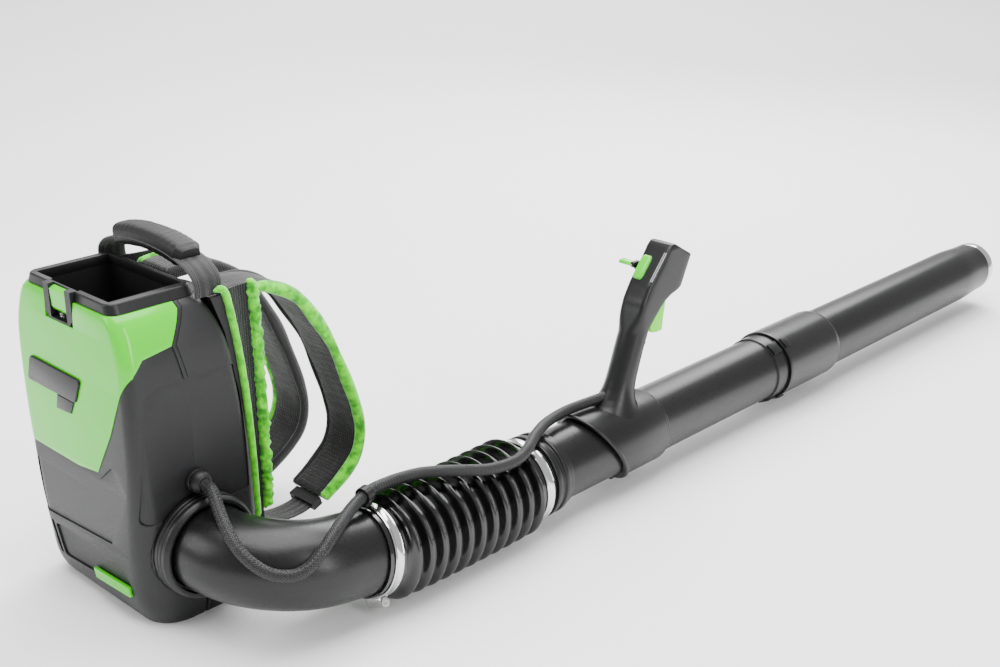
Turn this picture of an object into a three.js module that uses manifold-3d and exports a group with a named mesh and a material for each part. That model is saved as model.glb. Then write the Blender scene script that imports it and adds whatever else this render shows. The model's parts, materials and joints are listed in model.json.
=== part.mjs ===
// Backpack leaf blower: housing with fan and battery bay, padded harness, elbow, bellows hose and wand.
// Millimetres, +Z up. +Y is the way the wearer faces, +X is the wearer's right.
// The origin is the middle of the flat underside.
import * as THREE from 'three';
import { mergeVertices } from 'three/addons/utils/BufferGeometryUtils.js';
import Module from 'manifold-3d';

const wasm = await Module();
wasm.setup();

// ---- driving dimensions ----
const GAP = 0.3;                 // clearance between neighbouring pieces
const ROUND = 24;                // facets round a large tube
const TRI = 16;                  // facets round a small part

const housing = { halfX: 110, front: 84, rear: 64, height: 352, wall: 3, frontRadius: 34, rearRadius: 14 };
const rim = { height: 11, halfX: 79, front: 78, rear: 23 };
const bay = { halfX: 70, front: 70, rear: 15, floor: 172, wall: 2.6 };
const latch = { x: -9, halfX: 27, depth: 34, thickness: 9, tabHalfX: 15, tabHeight: 26 };
const fan = { y: -14, z: 90, outer: 58, wall: 3, hub: 25, tipGap: 2, blades: 9, vanes: 7 };
const collar = { outer: 57.5, mouth: 50.5, length: 21 };
const gland = { y: -14, z: 163.5, outer: 12.5, length: 17 };
const cable = { radius: 6.5 };
const backPlate = { halfX: 96, thickness: 13, bottom: 26 };
const pad = { halfX: 95, userHalfX: 84, user: 92, bottom: 84, top: 331 };
const strap = { inner: 20, outer: 85, thickness: 12 };
const webbing = { thickness: 3, inner: 34, outer: 70 };
const carry = { y: 32, width: 34, thickness: 2.6, gripHalfX: 46, gripHeight: 24, gripDepth: 33 };
const elbow = { outer: 47, wall: 3, bend: 90, droop: 9.5, straight: 60, lead: 21, slack: 1.2 };
const bellows = { outer: 62, root: 50, inner: 47.5, length: 215, convolutions: 11, cuff: 24 };
const band = { thickness: 1.3, width: 12, slack: 0.9 };
const hoseEnd = { height: 62.3, rearPull: 18, frontPull: 70 };
const tube = { outer: 44.1, wall: 3 };
const socket = { outer: 49.4, clearance: 0.5 };
const wand = {
  rearEnd: 26, sleeveTop: 100, sleeveBottom: 165, sleeveEnd: 228.5, spigot: 52, frontEnd: 510, nozzleSocket: 131.4,
};
const nozzle = { end: 1138.6, taper: 78, tip: 40.7, ringOuter: 37.8, ringWall: 1.6, ringOut: 17 };
const grip = { halfX: 19, wall: 3, bevel: 8, stemRadius: 18.5, stemFoot: 171, lean: 20.3 };
const trigger = { halfX: 6.5, pivotY: 245, pivotZ: 170 };

// ---- solids ----
const DEG = Math.PI / 180;

function closed(geometry) {
  let g = geometry.index ? geometry.toNonIndexed() : geometry.clone();
  for (const name of ['normal', 'uv']) g.deleteAttribute(name);
  g = mergeVertices(g, 1e-4);
  const p = g.attributes.position.array;
  const source = g.index.array;
  const tris = [];
  let volume = 0;
  for (let i = 0; i < source.length; i += 3) {
    const [a, b, c] = [source[i], source[i + 1], source[i + 2]];
    if (a === b || b === c || a === c) continue;
    tris.push(a, b, c);
    const A = new THREE.Vector3().fromArray(p, a * 3);
    const B = new THREE.Vector3().fromArray(p, b * 3);
    const C = new THREE.Vector3().fromArray(p, c * 3);
    volume += A.dot(B.cross(C));
  }
  if (volume < 0) for (let i = 0; i < tris.length; i += 3) [tris[i], tris[i + 1]] = [tris[i + 1], tris[i]];
  g.setIndex(tris);
  return g;
}

function solid(geometry) {
  const g = closed(geometry);
  const vertProperties = Float32Array.from(g.attributes.position.array);
  const triVerts = Uint32Array.from(g.index.array);
  return new wasm.Manifold(new wasm.Mesh({ numProp: 3, vertProperties, triVerts }));
}

function geometryOf(body) {
  const mesh = body.getMesh();
  const g = new THREE.BufferGeometry();
  g.setAttribute('position', new THREE.BufferAttribute(Float32Array.from(mesh.vertProperties), 3));
  g.setIndex(Array.from(mesh.triVerts));
  return g;
}

const join = (...bodies) => bodies.reduce((a, b) => a.add(b));
const cut = (body, ...tools) => tools.reduce((a, b) => a.subtract(b), body);

function box(x0, x1, y0, y1, z0, z1) {
  const g = new THREE.BoxGeometry(x1 - x0, y1 - y0, z1 - z0);
  return solid(g.translate((x0 + x1) / 2, (y0 + y1) / 2, (z0 + z1) / 2));
}

// A turned piece: profile is [radius, station] pairs, and axis says which way the stations run.
function turned(profile, axis, at = [0, 0, 0], facets = ROUND, onAxis = false) {
  const points = profile.map(([r, s]) => new THREE.Vector2(r, s));
  if (!onAxis) points.push(points[0].clone());
  const g = new THREE.LatheGeometry(points, facets);
  if (axis === 'x') g.rotateZ(-Math.PI / 2);
  if (axis === 'z') g.rotateX(Math.PI / 2);
  return solid(g.translate(...at));
}

const rod = (radius, s0, s1, axis, at, facets = TRI) =>
  turned([[0, s0], [radius, s0], [radius, s1], [0, s1]], axis, at, facets, true);

const pipe = (outer, inner, s0, s1, axis, at, facets = ROUND) =>
  turned([[inner, s0], [outer, s0], [outer, s1], [inner, s1]], axis, at, facets);

const shapeOf = (points) => new THREE.Shape(points.map(([u, v]) => new THREE.Vector2(u, v)));

// An outline in Y and Z, extruded along X.
function alongX(points, x0, x1) {
  const g = new THREE.ExtrudeGeometry(shapeOf(points), { depth: x1 - x0, bevelEnabled: false });
  const turn = new THREE.Matrix4().set(0, 0, 1, x0, 1, 0, 0, 0, 0, 1, 0, 0, 0, 0, 0, 1);
  return solid(g.applyMatrix4(turn));
}

// An outline in X and Z, extruded along Y.
function alongY(points, y0, y1) {
  const g = new THREE.ExtrudeGeometry(shapeOf(points), { depth: y1 - y0, bevelEnabled: false });
  const turn = new THREE.Matrix4().set(1, 0, 0, 0, 0, 0, 1, y0, 0, 1, 0, 0, 0, 0, 0, 1);
  return solid(g.applyMatrix4(turn));
}

// The two sides of a band of even thickness that follows a line of points.
function bandOutline(points, thickness) {
  const curve = new THREE.CatmullRomCurve3(points.map(([u, v]) => new THREE.Vector3(u, v, 0)));
  const steps = points.length * 3;
  const left = [];
  const right = [];
  for (let i = 0; i <= steps; i++) {
    const p = curve.getPointAt(i / steps);
    const t = curve.getTangentAt(i / steps);
    left.push([p.x - t.y * thickness / 2, p.y + t.x * thickness / 2]);
    right.unshift([p.x + t.y * thickness / 2, p.y - t.x * thickness / 2]);
  }
  return left.concat(right);
}

function sweep(points, radius, sides, steps) {
  const curve = new THREE.CatmullRomCurve3(points.map((p) => new THREE.Vector3(...p)));
  const shape = new THREE.Shape();
  for (let i = 0; i < sides; i++) {
    const a = (i / sides) * 2 * Math.PI;
    const [u, v] = [radius * Math.cos(a), radius * Math.sin(a)];
    if (i === 0) shape.moveTo(u, v); else shape.lineTo(u, v);
  }
  return new THREE.ExtrudeGeometry(shape, { steps, extrudePath: curve, bevelEnabled: false });
}

function coil(radius, wire, turns, length, at, direction) {
  const points = [];
  const along = new THREE.Vector3(...direction).normalize();
  const turn = new THREE.Quaternion().setFromUnitVectors(new THREE.Vector3(0, 0, 1), along);
  for (let i = 0; i <= turns * 8; i++) {
    const a = (i / 8) * 2 * Math.PI;
    const p = new THREE.Vector3(radius * Math.cos(a), radius * Math.sin(a), (i / (turns * 8)) * length);
    points.push(p.applyQuaternion(turn).add(new THREE.Vector3(...at)).toArray());
  }
  return solid(sweep(points, wire, 5, turns * 10));
}

// ---- the group and its materials ----
const blower = new THREE.Group();
const wandGroup = new THREE.Group();

const finish = {
  lime: [0x8cff00, 0.25, 0], dark: [0x3b3b3d, 0.55, 0], black: [0x151515, 0.45, 0], rubber: [0x0c0c0c, 0.35, 0],
  fabric: [0x111111, 0.95, 0], steel: [0xc8c8ca, 0.25, 1], copper: [0xa8603a, 0.35, 1], board: [0x1d5a34, 0.6, 0],
};

function part(name, body, look, group = blower) {
  const [color, roughness, metalness] = finish[look];
  const material = new THREE.MeshStandardMaterial({ color, roughness, metalness });
  const mesh = new THREE.Mesh(body instanceof THREE.BufferGeometry ? body : geometryOf(body), material);
  mesh.name = name;
  group.add(mesh);
}

// ---- housing outline ----
// Each level: height, then half width, front, rear and front corner as offsets from the largest section.
const levels = [
  [0.6, 6, 20, 10, 0], [22, 0, 8, 2, 0], [60, 0, 3, 0, 2], [100, 0, 0, 0, 6], [173, -1, 0, 3, 14], [240, -1, 0, 10, 18],
  [300, 1.5, 1, 20, 20], [330, 9, 2, 29, 19], [345, 17, 3, 36, 20], [housing.height, 24, 4.5, 40, 20],
].map(([z, inX, inFront, inRear, inCorner]) => ({
  z, halfX: housing.halfX - inX, front: housing.front - inFront, rear: housing.rear - inRear,
  corner: housing.frontRadius - inCorner,
}));

function levelAt(z) {
  const k = Math.min(Math.max(levels.findIndex((l) => l.z >= z), 1), levels.length - 1);
  const [a, b] = [levels[k - 1], levels[k]];
  const t = (z - a.z) / (b.z - a.z);
  const mix = (name) => a[name] + (b[name] - a[name]) * t;
  return { z, halfX: mix('halfX'), front: mix('front'), rear: mix('rear') };
}

const rearAt = (z) => levelAt(z).rear;
const sideAt = (z) => levelAt(z).halfX;

function sectionPoints({ halfX, front, rear, corner, z }, inset) {
  const [hx, yf, yr] = [halfX - inset, -(front - inset), rear - inset];
  const rf = Math.max(corner - inset, 4);
  const rr = Math.max(housing.rearRadius - inset, 3);
  const corners = [[hx - rr, yr - rr, rr, 0, 3], [-hx + rr, yr - rr, rr, 90, 3],
    [-hx + rf, yf + rf, rf, 180, 5], [hx - rf, yf + rf, rf, 270, 5]];
  const points = [];
  for (const [cx, cy, r, start, n] of corners) {
    for (let i = 0; i <= n; i++) {
      const a = (start + (90 * i) / n) * DEG;
      points.push([cx + r * Math.cos(a), cy + r * Math.sin(a), z]);
    }
  }
  return points;
}

function loft(rings) {
  const n = rings[0].length;
  const position = rings.flat(2);
  const index = [];
  for (let k = 0; k + 1 < rings.length; k++) {
    for (let i = 0; i < n; i++) {
      const [a, b] = [k * n + i, k * n + ((i + 1) % n)];
      index.push(a, b, b + n, a, b + n, a + n);
    }
  }
  for (let i = 1; i + 1 < n; i++) {
    const top = (rings.length - 1) * n;
    index.push(0, i + 1, i, top, top + i, top + i + 1);
  }
  const g = new THREE.BufferGeometry();
  g.setAttribute('position', new THREE.Float32BufferAttribute(position, 3));
  g.setIndex(index);
  return solid(g);
}

const outerBody = () => loft(levels.map((l) => sectionPoints(l, 0)));

function innerBody(inset) {
  const inside = levels.map((l) => sectionPoints(l, inset));
  const low = { ...levels[0], z: levels[0].z - 10 };
  const high = { ...levels[levels.length - 1], z: housing.height + 10 };
  return loft([sectionPoints(low, inset), ...inside, sectionPoints(high, inset)]);
}

// ---- housing shells ----
const FAR = 400;
const seamLine = [[-12, -10], [-12, 247], [-26, 314], [-7, 346], [-13, 380]];
const sideLine = [[-FAR, 150], [-84.6, 150], [-80.5, 262], [-73, 296], [-61, 309], [-27, 314]];
const shieldLine = [[-FAR, 169], [0, 167], [39, 172], [73, 225], [98, 275], [112, 300], [FAR, 300]];

const grown = (line, by) => line.map(([u, v]) => [u, v - by]);
const behindSeam = (by) => alongX([...seamLine.map(([y, z]) => [y + by, z]), [FAR, 380], [FAR, -10]], -FAR, FAR);
const aboveSide = (by) => alongX([...grown(sideLine, by), [-26 + by, 314], [-7 + by, 346], [-13 + by, 380],
  [-FAR, 380]], -FAR, FAR);
const aboveShield = (by) => alongY([...grown(shieldLine, by), [FAR, 500], [-FAR, 500]], -FAR, FAR);

const latchTop = housing.height + rim.height;
const latchBottom = housing.height - latch.depth;
const latchPocket = (by) => box(latch.x - latch.halfX - by, latch.x + latch.halfX + by, -FAR, -bay.front - bay.wall - GAP,
  latchBottom - by, latchTop + 20);

function buildShells() {
  const wallBody = cut(outerBody(), innerBody(housing.wall), latchPocket(0));
  const ductHole = rod(fan.outer + GAP, -FAR, FAR, 'x', [0, fan.y, fan.z], ROUND);
  const shell = cut(wallBody, ductHole);
  const cover = shell.intersect(aboveSide(0)).intersect(aboveShield(0));
  const keepOut = aboveSide(GAP).intersect(aboveShield(GAP));
  const rear = shell.intersect(behindSeam(0));
  const front = cut(shell, behindSeam(-GAP), keepOut);
  part('outer_cover', cover, 'lime');
  part('front_shell', front, 'dark');
  part('rear_shell', rear, 'dark');
  const floor = loft([{ ...levels[0], z: 0 }, { ...levels[0], z: 8 }].map((l) => sectionPoints(l, housing.wall + 1)));
  part('base_plate', floor, 'dark');
}

function buildTop() {
  const top = levels[levels.length - 1];
  const lower = sectionPoints({ ...top, z: housing.height + GAP }, 0.5);
  const upper = sectionPoints({ ...top, z: latchTop, halfX: rim.halfX, front: rim.front, rear: rim.rear }, 0);
  const opening = box(-bay.halfX, bay.halfX, -bay.front, bay.rear, housing.height - 5, latchTop + 5);
  part('bay_rim', cut(loft([lower, upper]), opening, latchPocket(0)), 'dark');

  const [w, top0] = [bay.wall, housing.height];
  const outer = box(-bay.halfX - w, bay.halfX + w, -bay.front - w, bay.rear + w, bay.floor, top0);
  const inner = box(-bay.halfX, bay.halfX, -bay.front, bay.rear, bay.floor + w, top0 + 10);
  const hookSlot = box(latch.x - latch.tabHalfX, latch.x + latch.tabHalfX, -bay.front - w - 1, -bay.front + 1,
    top0 - 14, top0 + 10);
  const rail = (s) => box(Math.min(s * 71, s * 62), Math.max(s * 71, s * 62), -50, -44, bay.floor + 1, top0 - 30);
  const shellRoom = innerBody(housing.wall + GAP);
  part('battery_bay', join(cut(outer, inner, hookSlot), rail(-1), rail(1)).intersect(shellRoom), 'black');

  const base = bay.floor + w + GAP;
  let block = box(-26, 26, -46, -16, base, base + 16);
  for (const x of [-18, -9, 0, 9, 18]) block = join(block, box(x - 1.5, x + 1.5, -44, -18, base + 15.5, base + 38));
  part('terminal_block', block, 'black');
}

function buildLatch() {
  const y1 = -bay.front - bay.wall - 2 * GAP;
  const y0 = y1 - latch.thickness;
  const [hx, hz] = [latch.halfX - GAP, latchBottom + GAP];
  const outline = [[-hx, latchTop], [-hx, hz + 14], [-hx + 14, hz], [hx - 14, hz], [hx, hz + 14], [hx, latchTop]];
  const frame = alongY(outline, y0, y1).translate(latch.x, 0, 0);
  const tx = latch.tabHalfX + 1;
  const pocket = box(latch.x - tx, latch.x + tx, y0 - 5, y1 - 2, hz + 9, latchTop + 5);
  part('latch_frame', cut(frame, pocket), 'dark');
  const [z0, z1] = [latchTop - latch.tabHeight - 2, latchTop - 2];
  const back = y1 - 2.6;
  const tabOutline = [[back - 2.5, z0], [back, z0 + 2], [back, z1], [back - 6, z1 - 3], [back - 5, z0 + 4]];
  part('battery_latch', alongX(tabOutline, latch.x - latch.tabHalfX, latch.x + latch.tabHalfX), 'lime');
  part('latch_spring', coil(2, 0.5, 3, 4.8, [latch.x, back - 2.4, z0 - 5.6], [0, 0, 1]), 'steel');
}

// ---- badge on the cover ----
function buildTrim() {
  const face = -housing.front - GAP;
  const badge = [[-82, 242], [10, 242], [13, 245], [24, 268], [21, 271], [-73, 272], [-77, 269], [-85, 245]];
  part('badge_plate', alongY(badge, face - 1.6, face), 'dark');
}

// ---- fan unit ----
function buildFan() {
  const at = [0, fan.y, fan.z];
  const end = housing.halfX;
  const inner = fan.outer - fan.wall;
  part('fan_duct', pipe(fan.outer, inner, -end + 6, end - 1, 'x', at), 'black');

  const [g0, g1] = [-end - 1, -end + 5];
  let grille = pipe(inner - GAP, inner - 6, g0, g1, 'x', at);
  for (let i = -3; i <= 3; i++) {
    const z = fan.z + i * 15;
    const half = Math.sqrt((inner - 3) ** 2 - (i * 15) ** 2);
    grille = join(grille, box(g0 + 1, g1 - 1, fan.y - half, fan.y + half, z - 1.5, z + 1.5));
  }
  part('intake_grille', grille, 'dark');

  let stator = pipe(fan.hub + 6, fan.hub + 3, 5, 70, 'x', at, TRI);
  for (let i = 0; i < fan.vanes; i++) {
    const vane = solid(new THREE.BoxGeometry(44, 2.4, inner - fan.hub - 5).translate(36, 0, (inner + fan.hub + 4) / 2));
    stator = join(stator, vane.rotate([(360 * i) / fan.vanes, 0, 0]).translate(...at));
  }
  const cone = turned([[0, 68], [fan.hub + 5, 68], [fan.hub - 2, 88], [6, 100], [0, 100]], 'x', at, TRI, true);
  part('stator_vanes', join(stator, cone), 'black');
  part('motor', join(rod(fan.hub + 2, 6, 62, 'x', at), rod(7, 2, 6.5, 'x', at)).subtract(
    rod(3.4, -1, 40, 'x', at)), 'steel');

  const tip = inner - fan.tipGap;
  let wheel = join(rod(fan.hub + 3, -34, -4, 'x', at),
    turned([[0, -52], [10, -49], [fan.hub, -38], [fan.hub + 3, -33.5], [0, -33.5]], 'x', at, TRI, true));
  wheel = wheel.subtract(rod(3.4, -30, 0, 'x', at));
  for (let i = 0; i < fan.blades; i++) {
    const span = tip - fan.hub;
    const plate = new THREE.BoxGeometry(26, 2.2, span).rotateZ(38 * DEG);
    const blade = solid(plate.translate(-19, 0, fan.hub + span / 2 - 0.6));
    wheel = join(wheel, blade.rotate([(360 * i) / fan.blades, 0, 0]).translate(...at));
  }
  part('impeller', wheel, 'dark');
  part('motor_shaft', rod(3, -29, 39, 'x', at, 12), 'steel');
}

function buildElectronics() {
  const y0 = bay.rear + bay.wall + 4;
  const heights = { low: 182, high: 262 };
  const tray = cut(box(-58, 58, y0, y0 + 12, heights.low, heights.high),
    box(-56, 56, y0 + 2, y0 + 20, heights.low + 2, heights.high - 2));
  part('controller_tray', tray, 'black');
  let board = box(-54, 54, y0 + 3, y0 + 4.6, heights.low + 4, heights.high - 4);
  for (const [x, z, r] of [[-38, 200, 5], [-22, 200, 5], [-6, 200, 5]]) {
    board = join(board, turned([[0, y0 + 4.2], [r, y0 + 4.2], [r, y0 + 11], [0, y0 + 11]], 'y', [x, 0, z], 12, true));
  }
  part('controller_board', join(board, box(10, 48, y0 + 4.2, y0 + 10, 190, 214)), 'board');
}

function buildCollar() {
  const x0 = housing.halfX + GAP;
  const at = [x0, fan.y, fan.z];
  const { outer, mouth, length } = collar;
  part('outlet_collar', turned([[mouth, 0], [outer, 0], [outer, 6], [outer - 2, 9], [mouth + 3.5, length],
    [mouth, length]], 'x', at), 'black');
  part('collar_seal', pipe(mouth - GAP, elbow.outer + elbow.slack, 5.8, 13, 'x', at), 'rubber');
  const gx = sideAt(gland.z) + GAP;
  const bore = cable.radius + 0.5;
  part('cable_gland', turned([[bore, 0], [gland.outer, 0], [gland.outer, 5], [gland.outer - 2, 8],
    [gland.outer - 2.5, gland.length], [bore, gland.length]], 'x', [gx, gland.y, gland.z], TRI), 'rubber');
}

// ---- harness ----
const heightsDown = (low, high, n) => Array.from({ length: n + 1 }, (_, i) => high + ((low - high) * i) / n);

function buildBack() {
  const t = backPlate.thickness;
  const steps = heightsDown(backPlate.bottom, housing.height - 4, 8);
  const faceY = (z) => Math.max(...[-4, 0, 4].map((d) => rearAt(Math.min(z + d, housing.height)))) + 2;
  const front = steps.map((z) => [faceY(z), z]);
  const rear = [...steps].reverse().map((z) => [faceY(z) + t, z]);
  part('back_plate', alongX([...front, ...rear], -backPlate.halfX, backPlate.halfX), 'black');

  const padSteps = heightsDown(pad.bottom, pad.top - 8, 6);
  const padLow = [pad.user, pad.bottom + 4];
  const outline = [[faceY(pad.top - 8) + t + 1.8, pad.top - 6], ...padSteps.map((z) => [faceY(z) + t + 1.8, z]),
    padLow, [pad.user, 220], [pad.user - 3, pad.top - 4], [pad.user - 8, pad.top]];
  const block = alongX(outline, -pad.halfX, pad.halfX);
  const dx = pad.halfX - pad.userHalfX;
  const side = [[-pad.halfX, 50], [pad.halfX, 50], [pad.halfX - dx, 120], [-pad.halfX + dx, 120]];
  const g = new THREE.ExtrudeGeometry(shapeOf(side), { depth: pad.top + 10, bevelEnabled: false });
  const wide = box(-pad.halfX, pad.halfX, 0, 50, 0, pad.top + 10);
  part('back_pad', block.intersect(join(solid(g), wide)), 'fabric');
}

const strapLine = [[58, 339], [88, 340], [118, 335], [150, 317], [174, 287], [197, 248], [217, 199], [231, 155],
  [235, 124], [227, 97], [206, 77], [178, 62]];
const webLine = [[164, 47], [140, 44], [112, 48], [88, 60], [83, 66]];

function buildStraps() {
  for (const [side, s] of [['left', -1], ['right', 1]]) {
    const span = (a, b) => (s > 0 ? [a, b] : [-b, -a]);
    part(`shoulder_strap_${side}`, alongX(bandOutline(strapLine, strap.thickness), ...span(strap.inner, strap.outer)),
      'fabric');
    part(`lower_webbing_${side}`, alongX(bandOutline(webLine, webbing.thickness), ...span(webbing.inner, webbing.outer)),
      'fabric');
    const [b0, b1] = [webbing.inner - 4, webbing.outer + 4];
    const ring = alongX([[164, 42], [176, 47], [173, 56], [161, 51]].map(([y, z]) => [y + 2, z + 2]), ...span(b0, b1));
    const slot = alongX(bandOutline([[150, 44.5], [166, 47.4]], webbing.thickness + 1), ...span(webbing.inner - 0.5,
      webbing.outer + 0.5));
    part(`strap_adjuster_${side}`, cut(ring, slot), 'black');
  }
}

const carryLine = [[90.6, 349.5], [91.5, 358], [88, 369], [72, 380], [38, 388], [0, 390.5]];

function carryPath(thickness, width, grow = 0) {
  const full = [...carryLine, ...carryLine.slice(0, -1).reverse().map(([x, z]) => [-x, z])];
  return alongY(bandOutline(full, thickness + 2 * grow), carry.y - width / 2 - grow, carry.y + width / 2 + grow);
}

function buildCarryHandle() {
  part('carry_webbing', carryPath(carry.thickness, carry.width), 'fabric');
  const h = carry.gripHeight;
  const [hx, y] = [carry.gripHalfX, carry.y];
  const arc = carryLine.filter(([x]) => x < hx);
  const right = [[hx, 386.5], ...arc];
  const line = [...right, ...arc.slice(0, -1).reverse().map(([x, z]) => [-x, z]), [-hx, 386.5]];
  const reach = carry.gripDepth / 2 + 6;
  const long = alongY(bandOutline(line.map(([x, z]) => [x, z - 3]), h), y - reach, y + reach);
  const round = alongX([[-18, -14], [-11, -20], [11, -20], [18, -14], [22, -2], [20, 8], [12, 13], [-12, 13], [-20, 8],
    [-22, -2]].map(([v, w]) => [y + v, 386 + w * 1.6]), -hx - 5, hx + 5);
  part('carry_grip', cut(long.intersect(round), carryPath(carry.thickness, carry.width, GAP)), 'rubber');
}

// ---- elbow, hose and wand axis ----
const elbowX = housing.halfX + 1.5;
const bendX = housing.halfX + elbow.lead;
const hoseX = bendX + elbow.bend;
const droop = elbow.droop * DEG;
const down = new THREE.Vector3(0, Math.cos(droop), -Math.sin(droop));
const bendEnd = new THREE.Vector3(hoseX, fan.y, fan.z).addScaledVector(down, elbow.bend);
const elbowEnd = bendEnd.clone().addScaledVector(down, elbow.straight);
const wandStart = new THREE.Vector3(hoseX, elbowEnd.y + bellows.length + bellows.cuff / 2, hoseEnd.height);

class Bend extends THREE.Curve {
  getPoint(t, target = new THREE.Vector3()) {
    const lead = bendX - elbowX;
    const arc = (elbow.bend * Math.PI) / 2;
    const s = t * (lead + arc + elbow.straight);
    const a = Math.min(Math.max((s - lead) / elbow.bend, 0), Math.PI / 2);
    const past = Math.max(s - lead - arc, 0);
    target.set(elbowX + Math.min(s, lead) + elbow.bend * Math.sin(a), fan.y, fan.z);
    return target.addScaledVector(down, elbow.bend * (1 - Math.cos(a)) + past);
  }
}

function circle(radius, sides) {
  const shape = new THREE.Shape();
  for (let i = 0; i < sides; i++) {
    const a = (i / sides) * 2 * Math.PI;
    if (i === 0) shape.moveTo(radius, 0); else shape.lineTo(radius * Math.cos(a), radius * Math.sin(a));
  }
  return shape;
}

function bentPipe(outer, inner) {
  const shape = circle(outer, ROUND);
  shape.holes.push(circle(inner, ROUND));
  return new THREE.ExtrudeGeometry(shape, { steps: 12, extrudePath: new Bend(), bevelEnabled: false });
}

// Places what was made along +Y at the origin onto a point and a direction in the plane of the hose.
function onHose(body, point, direction) {
  const angle = Math.atan2(direction.z, direction.y) / DEG;
  return body.rotate([angle, 0, 0]).translate(point.x, point.y, point.z);
}

function clampAt(name, point, direction, number, turn) {
  const inner = bellows.root + 2 + band.slack;
  const ring = pipe(inner + band.thickness, inner, -band.width / 2, band.width / 2, 'y', [0, 0, 0]);
  const z = -inner - 5;
  const house = box(-9, 9, -6, 6, z - 3.2, z + 4);
  const bore = rod(2.8, -20, 20, 'x', [0, 0, z], 12);
  part(`${name}_band_${number}`, onHose(cut(join(ring, house), bore).rotate([0, turn, 0]), point, direction), 'steel');
  const screw = join(rod(2.4, -12, 11, 'x', [0, 0, z], 12), rod(4, 9.6, 15, 'x', [0, 0, z], 6));
  part(`${name}_screw_${number}`, onHose(screw.rotate([0, turn, 0]), point, direction), 'steel');
}

function buildElbow() {
  const step = pipe(elbow.outer + 1.6, elbow.outer - 1, -9, -5, 'y', [0, 0, 0]);
  const at = elbowEnd.clone().addScaledVector(down, -bellows.cuff);
  const flange = pipe(elbow.outer + 3, elbow.outer - 1, 0, 4, 'x', [elbowX, fan.y, fan.z]);
  part('elbow', join(solid(bentPipe(elbow.outer, elbow.outer - elbow.wall)), onHose(step, at, down), flange), 'black');
}

const wandWay = new THREE.Vector3(0, 1, 0);
const foldsEnd = wandStart.clone().addScaledVector(wandWay, -bellows.cuff / 2);
const hoseCurve = new THREE.CubicBezierCurve3(elbowEnd, elbowEnd.clone().addScaledVector(down, hoseEnd.rearPull),
  foldsEnd.clone().addScaledVector(wandWay, -hoseEnd.frontPull), foldsEnd);
const foldsLength = hoseCurve.getLength();
const hoseLength = foldsLength + 2 * bellows.cuff;

// Bends a piece that was turned about +Y so that it follows the hose's centre line.
function alongHose(geometry) {
  const p = geometry.attributes.position;
  for (let i = 0; i < p.count; i++) {
    const [x, s, z] = [p.getX(i), p.getY(i), p.getZ(i)];
    const past = s - bellows.cuff;
    const t = Math.min(Math.max(past / foldsLength, 0), 1);
    const way = hoseCurve.getTangentAt(t);
    const at = hoseCurve.getPointAt(t).addScaledVector(way, past - t * foldsLength);
    p.setXYZ(i, at.x + x, at.y - way.z * z, at.z + way.y * z);
  }
  return geometry;
}

function hosePiece(s0, s1, folds) {
  const pitch = folds > 0 ? (s1 - s0) / folds : 0;
  const wall = [];
  for (let i = 0; i < folds; i++) {
    wall.push([bellows.root, s0 + pitch * i], [bellows.outer, s0 + pitch * (i + 0.5)]);
  }
  wall.push([bellows.root, s1]);
  return wall;
}

function buildHose() {
  const cuffOut = bellows.root + 2;
  const cuffIn = elbow.outer + elbow.slack;
  const c = bellows.cuff;
  const body = hoseLength - 2 * c;
  const fold = body / bellows.convolutions;
  const rearFolds = Math.floor(bellows.convolutions / 2);
  const frontFolds = bellows.convolutions - rearFolds - 1;
  const a = c + fold * rearFolds;
  const turnedHose = (profile) => {
    const points = profile.map(([r, s]) => new THREE.Vector2(r, s));
    points.push(points[0].clone());
    return solid(alongHose(new THREE.LatheGeometry(points, ROUND)));
  };
  const inner = bellows.inner;
  const rear = [[cuffIn, 0], [cuffOut, 0], [cuffOut, c - 1], ...hosePiece(c, a, rearFolds), [inner, a],
    [inner, c + 4], [cuffIn, c + 2]];
  const mid = [...hosePiece(a + GAP, a + fold - GAP, 1), [inner, a + fold - GAP], [inner, a + GAP]];
  const b = a + fold;
  const e = hoseLength;
  const front = [...hosePiece(b, e - c, frontFolds), [cuffOut, e - c + 1], [cuffOut, e], [cuffIn, e],
    [cuffIn, e - c - 2], [inner, e - c - 4], [inner, b]];
  part('bellows_rear', turnedHose(rear), 'rubber');
  part('bellows_mid', turnedHose(mid), 'rubber');
  part('bellows_front', turnedHose(front), 'rubber');
  clampAt('hose_clamp', elbowEnd.clone().addScaledVector(down, -bellows.cuff / 2), down, 1, 0);
  clampAt('hose_clamp', wandStart, wandWay, 2, 110);
}

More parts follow.
